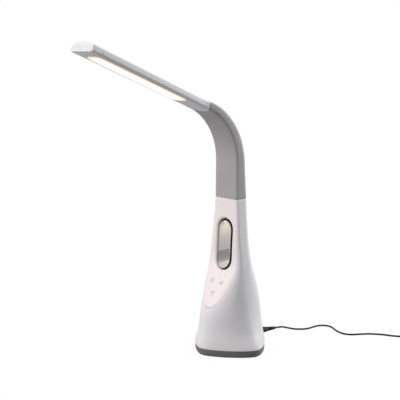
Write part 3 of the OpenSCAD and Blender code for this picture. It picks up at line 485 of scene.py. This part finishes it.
gap, strip_n, shell_wall = 0.2, 72, 2.2
shell_z = levels(np.linspace(base_h, neck_z, 90), tip_rows(gap, 30),
                 end_rows(window_z - window_h / 2 + slit, window_z + window_h / 2 - slit, window_w / 2 - slit),
                 end_rows(intake_z - intake_h / 2, intake_z + intake_h / 2, intake_h / 2))
rows = [half_strip(base_h, 0, 0, strip_n, 0.6), half_strip(base_h + 0.25, 0, 0, strip_n, 0.2)]
for z in shell_z[1:-1]:
    rows.append(half_strip(z, panel_edge(z, gap) if z > panel_tip - gap else 0,
                           max(window_edge(z, gap - slit), intake_edge(z, gap)), strip_n))
rows.append(half_strip(neck_z - 0.05, panel_edge(neck_z, gap), 0, strip_n, 0.3))
thicken(make("body_flare", *both_sides(rows), satin, "stand", "body_white", ["body_shell"]), shell_wall)

# Front panel: a glossy warm-white skin glued into the shell, from the neck down to a round point on the
# front ridge. Its edge and the edge of the window are rounded over.
warm, place = finish("warm_white_gloss")
cloud = place.noise(0.04)
shade(warm, Base_Color=cloud.mix(paint("efe7e6"), paint("ede4e4")), Roughness=cloud * 0.06 + 0.34,
      Normal=place.bump(place.noise(0.0016, 2), 0.00003, 0.2), Specular_IOR_Level=0.4)
roll_w, bullnose, overlap = 1.5, 4.5, 0.004


def skin_at(x, z, rear, inset):
    line = body_section(z, inset)
    widest = int(np.argmax(line[:, 0]))
    if rear:
        return np.interp(-abs(x), -line[widest:, 0], line[widest:, 1])
    return np.interp(abs(x), line[:widest + 1, 0], line[:widest + 1, 1])


def stadium(grow, count=26):
    r, straight = window_w / 2 + grow, (window_h - window_w) / 2
    bend = np.radians(np.linspace(0, 180, count))
    top = np.c_[r * np.cos(bend), window_z + straight + r * np.sin(bend)]
    side = np.c_[np.full(9, -r), window_z + straight * np.linspace(1, -1, 11)[1:-1]]
    half = np.vstack([top, side])
    return np.vstack([half, half * (-1, -1) + (0, 2 * window_z)])


def panel_line(grow):
    low = np.radians(np.linspace(0, 90, 40))
    half = [(panel_edge(z, grow), z) for z in np.linspace(neck_z - 0.05, panel_mid, 30)[:-1]]
    half += [((panel_half + grow) * math.cos(a), panel_mid - (panel_mid - panel_tip + grow) * math.sin(a))
             for a in low]
    return np.vstack([half, (np.array(half) * (-1, 1))[-2::-1]])


def front_strip(z, inner, outer, count):
    line = body_section(z)
    widest, run = int(np.argmax(line[:, 0])), arcs(line)
    first, last = (np.interp(x, line[:widest, 0], run[:widest]) for x in (inner, outer))
    return level(spread(line, np.linspace(first, last, count)), z)


def rim(outline, sign, r, squash, deep):
    rows = []
    for bend in np.radians(np.arange(0, 91, 9)):
        sink = squash * r * (1 - math.cos(bend)) - overlap
        edge = outline(sign * r * (1 - math.sin(bend)))
        rows.append([(x, skin_at(x, z, False, 0) + sink, z) for x, z in edge])
    rows.append([(x, y + deep, z) for x, y, z in rows[-1]])
    return rows


inside = -roll_w + 0.05
lip_low, lip_high = window_z - window_h / 2 - bullnose, window_z + window_h / 2 + bullnose
panel_z = levels(np.linspace(panel_tip - inside + 0.02, neck_z, 80), tip_rows(inside - 0.02, 40),
                 end_rows(lip_low, lip_high, window_w / 2 + bullnose))
sheet = both_sides([front_strip(z, window_edge(z, bullnose - 0.05), panel_edge(z, inside), 30) for z in panel_z])
window_lip = grid(rim(stadium, 1, bullnose, 1.0, 1.5), True)
panel_roll = grid(rim(panel_line, -1, roll_w, 0.6, 1.0))
make("front_skin", *joined(sheet, window_lip, panel_roll), warm, "stand", "panel_white", ["front_panel"], 60)

# Touch symbols: printed under the panel's clear coat in a slightly darker grey. A ring for the power,
# three bars for the light and a three-bladed wheel for the fan.
ink, place = finish("symbol_grey")
shade(ink, Base_Color=place.noise(0.003).mix(paint("bdb4b8"), paint("c6bdc0")), Roughness=0.25)
touch_x, touch_high, touch_low, touch_slope = 10.3, 113.3, 96.6, math.radians(32)
ink_proud, third = 0.12, 2.094


def symbol(at_x, at_z, lines):
    flat = [[(at_x + u, at_z + v * math.cos(touch_slope)) for u, v in line] for line in lines]
    return [[(x, skin_at(x, z, False, 0) - ink_proud, z) for x, z in line] for line in flat]


def polar(r, a):
    return r * math.cos(a), r * math.sin(a)


whole = np.linspace(0, 2 * math.pi, 49)
marks = [grid(symbol(-touch_x, touch_high, [[polar(r, a) for a in whole] for r in (2.6, 3.4, 4.2)]))]
for k, tall in enumerate((3.4, 5.2, 7.0)):
    bar = [[(2.5 * k - 3.3 + u, -3.5 + tall * v) for u in (0, 0.8, 1.6)] for v in np.linspace(0, 1, 8)]
    marks.append(grid(symbol(touch_x, touch_high, bar)))
for k in range(3):
    blade = [[polar(0.2 + 4.3 * q, third * k + 0.8 * q + sweep * (0.6 - 0.3 * q)) for sweep in np.linspace(-1, 1, 9)]
             for q in np.linspace(0, 1, 9)]
    marks.append(grid(symbol(0, touch_low, blade)))
make("touch_symbols", *joined(*marks), ink, "stand", "panel_white", (), 180)

# Tunnel liner: a light-grey plastic tube right through the stand. Its upper half is painted pale as light,
# its lower half darker as painted shade and its sill warm as painted light from above. It stops just behind
# the panel, and the fan blows out of the dark slit left round its front end. Its edges are rounded over.
pale, place = finish("liner_grey")
cloud, skin = place.noise(0.03), place.noise(0.0006, 2)
height = place.node("ShaderNodeSeparateXYZ", None, {0: place}, 2)
depth = place.node("ShaderNodeSeparateXYZ", None, {0: place}, 1)
# Painted light and shade: the upper half pale as if lit, the lower half darker as if shaded, the sill warm as if lit
# from above.
half = height.between(0.1570, 0.1585)
sill_light_mask = 1 - (height - depth * 0.12).between(0.1392, 0.1402)
lit_and_shaded_tone = half.mix(cloud.mix(paint("9b9b9d"), paint("a4a4a6")), cloud.mix(paint("d2d1cf"), paint("cac9c8")))
shade(pale, Base_Color=sill_light_mask.mix(lit_and_shaded_tone, paint("d2c9c2")), Roughness=cloud * 0.1 + 0.4,
      Normal=place.bump(skin, 0.00004, 0.3))


def tube_ring(grow, front, rear, share):
    ring = []
    for x, z in stadium(-slit + grow):
        a, b = skin_at(x, z, False, 0.3) + front, skin_at(x, z, True, 0.3) - rear
        ring.append((x, a + (b - a) * share, z))
    return ring


tube_wall = 1.2
lip = ((0, 9), (0, 0.5), (-0.1, 0.14), (-0.35, 0), (-0.8, 0), (-1.1, 0.14), (-tube_wall, 0.5))
rings = [tube_ring(grow, deep + 0.8, 0.5, 0) for grow, deep in lip]
rings += [tube_ring(-tube_wall, 1.3, 0.5, share) for share in np.linspace(0, 1, 14)[1:-1]]
rings += [tube_ring(grow, 0.5, deep, 1) for grow, deep in lip[::-1]]
make("tunnel_tube", *grid(rings, True), pale, "stand", "liner_grey", ["tunnel_liner"], 50)

# Air nozzle: the channel behind the slit, coloured charcoal as painted shade, so that the slit reads as a dark line.
# It keeps the boards behind it out of sight.
slit_shade, place = finish("painted_slit_shade")
skin = place.noise(0.0006, 2)
shade(slit_shade, Base_Color=skin.mix(paint("1d1c1e"), paint("29282a")), Roughness=skin * 0.2 + 0.6,
      Normal=place.bump(skin, 0.00005, 0.4))
channel = []
for grow, deep in ((-slit + 0.08, 1.7), (-slit + 0.08, 6.2), (1.0, 6.2), (1.0, 5.6)):
    channel.append([(x, skin_at(x, z, False, 0) + deep, z) for x, z in stadium(grow)])
make("air_nozzle", *grid(channel, True), slit_shade, "stand", "parts_black", (), 40)

# Night light: a small opal lens let into the tunnel's ceiling, flush but for a slight bead. Its board
# above lights it warm.
opal, place = finish("warm_opal")
shade(opal, Base_Color=paint("fff1d8"), Roughness=0.35, Emission_Strength=9.0,
      Emission_Color=place.noise(0.004).mix(paint("ffecc8"), paint("fff1d6")))
opal.cycles.emission_sampling = "FRONT"
roof = window_z + (window_h - window_w) / 2
roof_r = window_w / 2 - slit - tube_wall
bead = [[(x, y, roof + math.sqrt((roof_r - drop) ** 2 - x * x)) for x in np.linspace(-half, half, 15)]
        for half, drop, y in ((6, 0, -5), (6, 0.2, -5), (5.7, 0.35, -4.7), (5.7, 0.35, 6.7), (6, 0.2, 7), (6, 0, 7))]
make("night_lens", *grid(bead), opal, "stand", "lens", ["night_light_lens"], 60)

# Boards of the touch symbols and the driver: green laminate with copper tracks under the lacquer. The
# touch board presses a small brass spring against the panel behind each symbol.
laminate, place = finish("green_board")
tracks = place.node("ShaderNodeTexBrick", {"offset": 0.5},
                    {"Vector": place, "Scale": 160.0, "Mortar Size": 0.035, "Bias": 0.0}, 1)
weave = place.noise(0.0012)
shade(laminate, Base_Color=(tracks + weave * 0.25).math("MINIMUM", 1.0).mix(paint("1c5a37"), paint("4c8a4e")),
      Roughness=weave * 0.15 + 0.3, Normal=place.bump(tracks, 0.00005, 0.6))
dress(laminate, "touch_board", "main_board")

brass, place = finish("bright_brass")
tarnish = place.noise(0.002)
shade(brass, Base_Color=tarnish.mix(paint("d9b45c"), paint("c49a49")), Metallic=1.0, Roughness=tarnish * 0.2 + 0.2)
board_z, board_v, spring_r, spring_wire = 105, 9.6, 1.9, 0.45
ridge = skin_at(0, board_z, False, 0)
coils = []
for x, v in ((-touch_x, -board_v), (touch_x, -board_v), (0, board_v)):
    wind = np.linspace(0, 11 * math.pi, 133)
    u, w, deep = x + spring_r * np.cos(wind), v + spring_r * np.sin(wind), 3.8 + 6.0 * wind / wind[-1]
    coils.append(np.c_[u, ridge - w * math.sin(touch_slope) + deep * math.cos(touch_slope),
                       board_z - w * math.cos(touch_slope) - deep * math.sin(touch_slope)])
wire("touch_coils", coils, spring_wire, brass, "stand", "springs", "touch_springs")
dress(brass, "board_standoffs")

# Components and power inlet: moulded in black epoxy and black nylon, with a dull, slightly dusty skin.
# The board of the night light is painted black as shade, so that it can not be seen through the slit.
epoxy, place = finish("black_moulding")
speck = place.noise(0.0007, 2)
shade(epoxy, Base_Color=speck.mix(paint("17171a"), paint("28282b")), Roughness=speck * 0.2 + 0.45,
      Normal=place.bump(speck, 0.00006, 0.5))
dress(epoxy, "board_components", "dc_jack", "night_light_board")

# Fan: a natural white housing on four legs, a grey impeller moulded in one piece, and a pressed steel
# motor with a ground shaft.
moulded, place = finish("moulded_white")
flow = place.noise(0.008)
shade(moulded, Base_Color=flow.mix(paint("e4e3df"), paint("d6d5d1")), Roughness=flow * 0.15 + 0.4,
      Normal=place.bump(place.noise(0.0005), 0.00005, 0.4))
dress(moulded, "fan_housing")
bladed, place = finish("impeller_grey")
flow = place.noise(0.006)
shade(bladed, Base_Color=flow.mix(paint("8b8c8f"), paint("9b9c9e")), Roughness=flow * 0.15 + 0.35)
dress(bladed, "fan_impeller")
ground, place = finish("turned_steel")
turned = place.node("ShaderNodeMapping", None, {"Vector": place, "Scale": (1.0, 1.0, 60.0)}).noise(0.01)
shade(ground, Base_Color=turned.mix(paint("b4b5b8"), paint("cfd0d2")), Metallic=1.0, Roughness=turned * 0.18 + 0.2)
dress(ground, "fan_motor", "fan_shaft")

# Rear intake: an oval patch of the shell's wall with eight slots across it, round at their ends, moulded
# as a part of its own.
slot_n, slot_border, intake_wall = 8, 5, 2.4
pitch = (intake_h - slot_border) / slot_n
slots = [intake_z + pitch * (k - (slot_n - 1) / 2) for k in range(slot_n)]


def patch(z_rows, inner, count=16):
    rows = []
    for z in z_rows:
        at = np.linspace(inner(z), intake_edge(z, 0), count)
        rows.append([(x, skin_at(x, z, True, 0), z) for x in at])
    return both_sides(rows)


def slot_end(mid):
    r = pitch / 4
    half = (intake_w * math.sqrt(1 - (2 * (mid - intake_z) / intake_h) ** 2) - 2 * slot_border) / 2
    return lambda z: half - r + math.sqrt(max(0, r * r - (z - mid) ** 2))


cuts = [z + side * pitch / 4 for z in slots for side in (-1, 1)]
cuts = [intake_z - intake_h / 2 + 0.05, *cuts, intake_z + intake_h / 2 - 0.05]
bars = []
for k in range(0, len(cuts), 2):
    count = 9 if k in (0, len(cuts) - 2) else 3
    bars.append(patch(np.linspace(cuts[k], cuts[k + 1], count), lambda z: 0))
ends = [patch(mid + pitch / 4 * np.sin(np.radians(np.linspace(-90, 90, 9))), slot_end(mid)) for mid in slots]
thicken(make("intake_slats", *joined(*bars, *ends), satin, "stand", "body_white", ["intake_grille"]), intake_wall)

# Core of the arm: plated steel links on ground pins, screwed to the stand's roof by an anchor plate. It is
# hidden by the sleeve and keeps the solids of the frame.
dress(zinc, "arm_anchor", "anchor_screws", "arm_link_1", "arm_link_2", "head_link")
dress(ground, "hinge_pin_1", "hinge_pin_2", "hinge_pin_3")

# Arm: a flexible steel core in a grey silicone sleeve, flat inside and crowned outside. It is one sleeve,
# made here in three lengths, each round one hinge of the core.
rubber, place = finish("grey_silicone")
cloud, skin = place.noise(0.03), place.noise(0.0005, 3)
shade(rubber, Base_Color=cloud.mix(paint("9f9d9e"), paint("a6a4a5")), Roughness=skin * 0.1 + 0.55,
      Normal=place.bump(skin, 0.00006, 0.35))
arm_straight, arm_r, arm_turn, arm_t = 57.5, 98.0, math.radians(68), 18.0
arm_l = arm_straight + arm_r * arm_turn
joint_s, seam_s, blend_reach = (35, 87, 139), (61, 113), 22
flat_power, power_rise, crown_power = 1.08, 0.42, 2.8
head_half, head_back, head_edge_r, head_crown_r = 24.0, 5.8, 2.5, 1.2


def on_arm(points, s):
    p = np.asarray(points, float)
    phi = min(max((s - arm_straight) / arm_r, 0), arm_turn)
    past = max(0, s - arm_l)
    y = -arm_r * (1 - math.cos(phi)) - past * math.sin(phi)
    z = neck_z + min(s, arm_straight) + arm_r * math.sin(phi) + past * math.cos(phi)
    return np.c_[p[:, 0], y + p[:, 1] * math.cos(phi), z + p[:, 1] * math.sin(phi)]


def arm_section(s, inset=0.0):
    t = s / arm_l
    fall = t ** 6
    rear, power = neck_back + (arm_t - neck_front - neck_back) * t, flat_power + power_rise * t
    return half_section(
        neck_half + (head_half - neck_half) * t - inset, neck_front - inset, rear + (head_back - rear) * fall - inset,
        flat_power, power + (crown_power - power) * fall, max(ridge_r + (head_edge_r - ridge_r) * t - inset, least_r),
        max(back_r + (head_crown_r - back_r) * fall - inset, least_r))


even = [np.linspace(low, high, count)
        for low, high, count in ((2, seam_s[0], 38), (*seam_s, 34), (seam_s[1], arm_l - 1.4, 40))]
sleeve_s = [(0.05, 0.6), (0.25, 0.2), (0.7, 0)] + [(s, 0) for s in np.unique(np.concatenate(even))]
sleeve_s += [(arm_l - 0.8, 0.15), (arm_l - 0.4, 0.5), (arm_l - 0.2, 1.2)]
rings = np.array([on_arm(ring(arm_section(s, inset), 70), s) for s, inset in sleeve_s])
ahead_of = np.gradient(rings, axis=0)
round_of = np.roll(rings, -1, axis=1) - np.roll(rings, 1, axis=1)
normals = np.cross(round_of, ahead_of)
normals /= np.linalg.norm(normals, axis=2)[:, :, None]
if np.sum(normals[30] * (rings[30] - rings[30].mean(axis=0))) < 0:
    normals = -normals
sleeves = (("arm_sleeve_0",), ("arm_sleeve_1",), ("arm_sleeve_2", "arm_sleeve_3"))
ends = (0, *seam_s, arm_l)
for k, hinge in enumerate(joint_s):
    pick = [j for j, (s, _) in enumerate(sleeve_s) if ends[k] - 0.01 <= s <= ends[k + 1] + 0.01]
    points, faces = grid(rings[pick], True)
    piece = make(f"arm_skin_{k + 1}", points, faces, rubber, None, "silicone", sharp=180)
    piece.data.normals_split_custom_set_from_vertices([tuple(n) for n in normals[pick].reshape(-1, 3)])
    below, above = [np.array(on_arm([(0, 0)], s)[0]) / 1000 for s in (hinge - blend_reach, hinge + blend_reach)]
    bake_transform(piece)
    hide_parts(*sleeves[k])

# Head cover: the upper half of a slim white box, crowned, parted from the underside by a fine line.
# Its root is rounded over where it meets the sleeve.
head_l, head_widen, head_wall, tip_round = 222.0, 4.0, 1.6, 4.0
side_lean, lean_run, lean_low, lean_high, lean_power = 2.8, 12, -8.5, 2.0, 1.3
parting, line_gap = -3.0, 0.1


def head_section(x, inset=0.0):
    u = min(max((x - head_l + tip_round) / tip_round, 0), 1)
    taper = tip_round * (1 - math.sqrt(1 - u * u * 0.97))
    half = head_half + head_widen * x / head_l - inset - taper
    line = half_section(half, neck_front - inset, head_back - inset - 0.2 * taper, flat_power, crown_power,
                        max(head_edge_r - inset, least_r), max(head_crown_r - inset, least_r))
    rise = np.clip((line[:, 1] - lean_low) / (lean_high - lean_low), 0, 1)
    lean = side_lean * min(max(x, 0) / lean_run, 1) * rise ** lean_power
    return np.c_[line[:, 0] * (1 - lean / half), line[:, 1]]


head_x = [(0, 1.0), (0.15, 0.6), (0.45, 0.25), (0.9, 0.06), (1.4, 0)]
head_x += [(x, 0) for x in np.linspace(4, head_l - tip_round, 40)]
head_x += [(head_l - tip_round * math.cos(a), 0) for a in np.radians(np.linspace(0, 90, 14))[1:]]


# Points along a section, closer together where it bends: a radian counts for as much as bend_worth mm.
def by_bend(line, first, last, count, bend_worth=7):
    share = np.linspace(0, 1, 600)
    fine = spread(line, first + (last - first) * share)
    step = np.diff(fine, axis=0)
    bend = np.abs(np.diff(np.unwrap(np.arctan2(step[:, 1], step[:, 0]))))
    measure = (last - first) * share + bend_worth * np.concatenate([[0, 0], np.cumsum(bend)])
    at = np.interp(np.linspace(0, measure[-1], count), measure, share)
    return np.c_[np.interp(at, share, fine[:, 0]), np.interp(at, share, fine[:, 1])]


def head_rows(upper):
    rows = []
    for x, inset in head_x:
        line = head_section(x, inset)
        widest, run = int(np.argmax(line[:, 0])), arcs(line)
        side = slice(10, widest + 40)
        cut = np.interp(parting + (line_gap if upper else -line_gap), line[side, 1], run[side])
        first, last = (cut, run[-1]) if upper else (0, cut)
        rows.append(on_arm(by_bend(line, first, last, 48), arm_l + x))
    return rows


thicken(make("head_top", *both_sides(head_rows(True)), satin, "head", "body_white", ["head_cover"], 40), head_wall)

# End of the head: a flat face across the tip with three fine grooves moulded into it, set a hair inside
# the rounded ends of the cover and the underside.
line = head_section(head_l)
tip_v = [(-8.9, 0), (-8.6, 0)]
for v in (-6, -3.6, -1.2):
    tip_v += [(v - 0.4, 0), (v - 0.15, 0.3), (v + 0.15, 0.3), (v + 0.4, 0)]
tip_v += [(v, 0) for v in (0, 0.8, 1.6, 2.4, 3.1, 3.7, 4.2, 4.6, 4.9, 5.08, 5.13)]
rows = []
for v, deep in tip_v:
    half = np.interp(v, line[60:, 1], line[60:, 0])
    rows.append(on_arm([(half * q, v) for q in np.linspace(0, 1, 14)], arm_l + head_l - deep - 0.01))
make("tip_face", *both_sides(rows), satin, "head", "body_white", (), 30)

# Underside of the head: the lower half, flat, with a round end that laps over the arm's inner face and
# two sunk holes for its screws.
screw_x, screw_s, hole_r = 17, arm_l + 6, 2.8
under = make("head_floor", *both_sides(head_rows(False)), satin, "head", "body_white", ["head_underside"], 40)
thicken(under, head_wall)


def around(count):
    return np.linspace(0, 2 * math.pi, count + 1)[:-1]


def round_hole(piece, at_x, at_s, r):
    rings = []
    for v in (-12, -6):
        rings.append([on_arm([(at_x + r * math.cos(a), v)], at_s + r * math.sin(a))[0] for a in around(32)])
    cutter = make("cutter", *closed(rings), satin, None, "body_white")
    rule = piece.modifiers.new("hole", "BOOLEAN")
    rule.operation, rule.object, rule.solver = "DIFFERENCE", cutter, "EXACT"
    settle(piece)
    bpy.data.objects.remove(cutter)


for x in (-screw_x, screw_x):
    round_hole(under, x, screw_s, hole_r)

lap_reach, lap_proud, lap_n, lap_edge, lap_drop, lap_end = 11, 0.3, 26, 0.8, 0.7, 2.5
lap_r = (head_half ** 2 + lap_reach ** 2) / (2 * lap_reach)
rows = []
for ahead_of_root in np.concatenate([-lap_reach * (1 - np.linspace(0, 1, 34) ** 2), [0.8, 1.6, 2.4]]):
    s = arm_l + ahead_of_root
    past, from_end = max(0, ahead_of_root), ahead_of_root + lap_reach
    half = min(math.sqrt(max(0, lap_r ** 2 - (lap_r - from_end) ** 2)), head_half - 0.3)
    line = head_section(past) if past else arm_section(s)
    widest, run = int(np.argmax(line[:, 0])), arcs(line)
    across = half * np.sin(np.linspace(0, math.pi / 2, lap_n))
    flat = spread(line, np.interp(across, line[:widest, 0], run[:widest]))
    edge = np.clip((lap_r - np.hypot(flat[:, 0], from_end - lap_r)) / lap_edge, 0, 1)
    proud = lap_proud * (1 - past / lap_end) - lap_drop * (1 - np.sqrt(1 - (1 - edge) ** 2)) * (past == 0)
    rows.append(on_arm(flat - np.c_[np.zeros(lap_n), proud], s))
make("underside_lap", *both_sides(rows), satin, "head", "body_white", (), 60)

# Screws of the underside: small pan heads with a cross recess, in nickel darkened as painted shade for the
# shadow in their holes. They are sunk a little below the surface, in the two holes.
screw_r, screw_top, recess_r, recess_half, recess_deep = 2.6, -8.1, 1.75, 0.55, 0.7
heads = []
for x in (-screw_x, screw_x):
    rows = []
    for r in np.linspace(0, screw_r, 14):
        circle = []
        for a in around(64):
            u, w = r * math.cos(a), r * math.sin(a)
            cross = r < recess_r and min(abs(u - w), abs(u + w)) < recess_half
            circle.append(on_arm([(x + u, screw_top + 0.045 * r * r + recess_deep * cross)], screw_s + w)[0])
        rows.append(circle)
    heads.append(grid(rows, True))
shaded_nickel, place = finish("painted_shade_nickel")
worn = place.noise(0.001)
shade(shaded_nickel, Base_Color=worn.mix(paint("4c4c50"), paint("5c5c60")), Metallic=1.0, Roughness=worn * 0.15 + 0.28)
make("screw_heads", *joined(*heads), shaded_nickel, "head", "steel", ["head_screws"], 30)

# Stopper in the right side of the head, near its tip: a small grey rubber plug with a slight dome, pressed
# in flush. It stands for the dot that the photograph shows there.
stopper_at, stopper_v = 204, -4.4
side = head_section(stopper_at)
side_x = np.interp(stopper_v, side[60:240, 1], side[60:240, 0])
dome = []
for r in (0.02, 0.3, 0.55, 0.75, 0.9):
    out = side_x + 0.22 - 0.2 * r * r
    dome.append([on_arm([(out, stopper_v + r * math.cos(a))], arm_l + stopper_at + r * math.sin(a))[0]
                 for a in around(32)])
make("side_stopper", *grid(dome, True), grey, "head", "base_grey", (), 60)

# Light engine: a white board with two rows of phosphor chips, behind a white reflector frame. It is hidden
# by the diffuser and keeps the solids of the frame.
mask, place = finish("white_board")
tracks = place.node("ShaderNodeTexBrick", {"offset": 0.5}, {"Vector": place, "Scale": 90.0, "Mortar Size": 0.02}, 1)
shade(mask, Base_Color=tracks.mix(paint("f0f0ec"), paint("dcdcd6")), Roughness=tracks * 0.1 + 0.35)
dress(mask, "led_board", "reflector")
phosphor, place = finish("phosphor")
grain = place.noise(0.0004)
shade(phosphor, Base_Color=grain.mix(paint("f2d24f"), paint("e7bd3c")), Roughness=grain * 0.2 + 0.3,
      Emission_Color=paint("fff0c8"), Emission_Strength=0.5)
phosphor.cycles.emission_sampling = "NONE"
dress(phosphor, "led_chips")

# Diffuser: a proud opal bar along the underside with round corners, lit evenly from behind, a little
# warmer at its edge, where the light comes through the thick rim.
glow, place = finish("lit_opal")
bar_half, bar_long, bar_r, bar_from_tip = 17, 84, 11, 19
fringe_from, fringe_to = 0.0050, 0.0074
bar_mid = arm_l + head_l - bar_from_tip - bar_long
way = (0.0, -math.sin(arm_turn), math.cos(arm_turn))
centre = on_arm([(0, 0)], bar_mid)[0] / 1000
across = abs(place.node("ShaderNodeSeparateXYZ", None, {0: place}, 0))
along = place.node("ShaderNodeVectorMath", {"operation": "DOT_PRODUCT"}, {0: place, 1: way}, 1)
along = abs(along - float(np.dot(way, centre)))
rest_x = (across - (bar_half - bar_r) / 1000).math("MAXIMUM", 0.0)
rest_y = (along - (bar_long - bar_r) / 1000).math("MAXIMUM", 0.0)
fringe = ((rest_x * rest_x + rest_y * rest_y) ** 0.5).between(fringe_from, fringe_to)
shade(glow, Base_Color=paint("fff4ea"), Roughness=0.4, Emission_Strength=2.0,
      Emission_Color=fringe.mix((1, 0.97, 0.93, 1), (0.36, 0.155, 0.065, 1)))
glow.cycles.emission_sampling = "NONE"


def round_box(half, tall, r, count):
    bend = np.radians(np.linspace(0, 90, count))
    corner = np.c_[half - r + r * np.cos(bend), tall - r + r * np.sin(bend)]
    return np.vstack([corner, (corner * (-1, 1))[::-1], corner * (-1, -1), (corner * (1, -1))[::-1]])


rows = []
for inset, v in ((0, -8.0), (0, -9.1), (0.1, -9.32), (0.3, -9.5), (0.6, -9.6), (6, -9.6)):
    loop = round_box(bar_half - inset, bar_long - inset, bar_r - inset, 10)
    rows.append([on_arm([(x, v)], bar_mid + y)[0] for x, y in loop])
make("diffuser_bar", *closed(rows), glow, "head", "opal", ["diffuser"], 40)

# Power plug: a moulded black grip with fine ribs, a slotted strain relief that tapers to the cord, and a
# plated barrel in the inlet.
rib_n, rib_high = 24, 0.02


def turned_rows(profile, start, way, count=48, ribs=None):
    way = np.asarray(way) / np.linalg.norm(way)
    side = np.cross(way, (0, 0, 1))
    side /= np.linalg.norm(side)
    over = np.cross(side, way)
    rows = []
    for along_it, r in profile:
        a = around(count)
        wide = r * (1 + (rib_high * np.cos(rib_n * a) if ribs and ribs[0] < along_it < ribs[1] else 0 * a))
        rows.append(start + along_it * way + np.outer(wide * np.cos(a), side) + np.outer(wide * np.sin(a), over))
    return rows


grip = [(0, 3.9), (0.12, 4.3), (0.4, 4.6), (0.8, 4.7), (2.6, 4.7), (2.7, 4.65), (12, 4.65), (12.1, 4.7),
        (13, 4.7), (14, 4.55), (16, 4.15)]
relief = []
for k in range(5):
    first, last = 16.2 + 4 * k, 20.1 + 4 * k
    wide = np.interp((first, last), (16, 27, 38), (4.15, 3.3, 2.5))
    relief += [(first, wide[0] - 0.25), (first + 0.25, wide[0]), (last - 0.25, wide[1]), (last, wide[1] - 0.25)]
    if k < 4:
        relief += [(last + 0.05, 2.6), (last + 1.3, 2.6)]
relief += [(plug_l, 2.2), (plug_l, cord_d / 2)]
rows = turned_rows(grip + sorted(relief), plug_at, plug_way, 96, ribs=(2.65, 12.05))
plug_grip = make("plug_grip", *closed(rows), black, "stand", "cord_black", ["dc_plug"], 40)
dress(ground, "plug_barrel")

# Tie: a woven black strap, 8 mm wide, in one snug loop round the cords of the coil. Its corners and edges
# are rounded.
strap, place = finish("woven_strap")
cross = place.node("ShaderNodeTexChecker", None, {"Vector": place, "Scale": 1400.0}, 1)
shade(strap, Base_Color=cross.mix(paint("141416"), paint("232326")), Roughness=0.8,
      Normal=place.bump(cross, 0.0002, 0.7))
outward, onward = np.array((-1, 1, 0)) / math.sqrt(2), np.array((1, 1, 0)) / math.sqrt(2)
tie_mid, tie_half, tie_r = np.array((*coil_mid, 8.15)) + 18 * outward, 7.35, 1.8


def strap_ring(out, w):
    loop = round_box(tie_half + out, tie_half + out, tie_r + out, 8)
    return [tie_mid + a * outward + b * np.array((0, 0, 1)) + w * onward for a, b in loop]


strap_edge = ((0.05, -3.9), (0.4, -4), (0.75, -3.9), (0.75, 3.9), (0.4, 4), (0.05, 3.9), (0.05, -3.9))
band = np.array([strap_ring(out, w) for out, w in strap_edge])
tie_strap = make("tie_strap", *grid(band, True), strap, "stand", "tie_black", ["coil_tie"], 50)

# Far plug: a black moulded grip with rounded ends and a ribbed relief where the cord goes in. Its plated
# shell keeps the solid of the frame.
usb_at, usb_half, usb_tall, usb_r = np.array(tail[-1]), 8, 4, 2
ribs = [(0.6 + 1.5 * k + d, r) for k in range(5) for d, r in ((0.1, 2.1), (0.25, 2.5), (0.85, 2.5), (1.0, 2.1))]
ribbed = [(0, cord_d / 2), (0, 2.2)] + ribs + [(8.6, 2.4)]
rows = []
for along_it, cut_in in ((8, 1.6), (8.1, 1.1), (8.5, 0.5), (9.2, 0.12), (10, 0),
                         (32, 0), (33, 0.12), (33.6, 0.5), (33.95, 1.1), (34, 1.6)):
    loop = round_box(usb_half - cut_in, usb_tall - cut_in, usb_r, 7)
    rows.append(usb_at + along_it * onward - np.outer(loop[:, 0], outward) + np.outer(loop[:, 1], (0, 0, 1)))
relief = closed(turned_rows(ribbed, usb_at, onward, 32))
usb_body = make("usb_body", *joined(relief, closed(rows)), black, "stand", "cord_black", ["usb_grip"], 40)
dress(zinc, "usb_shell")
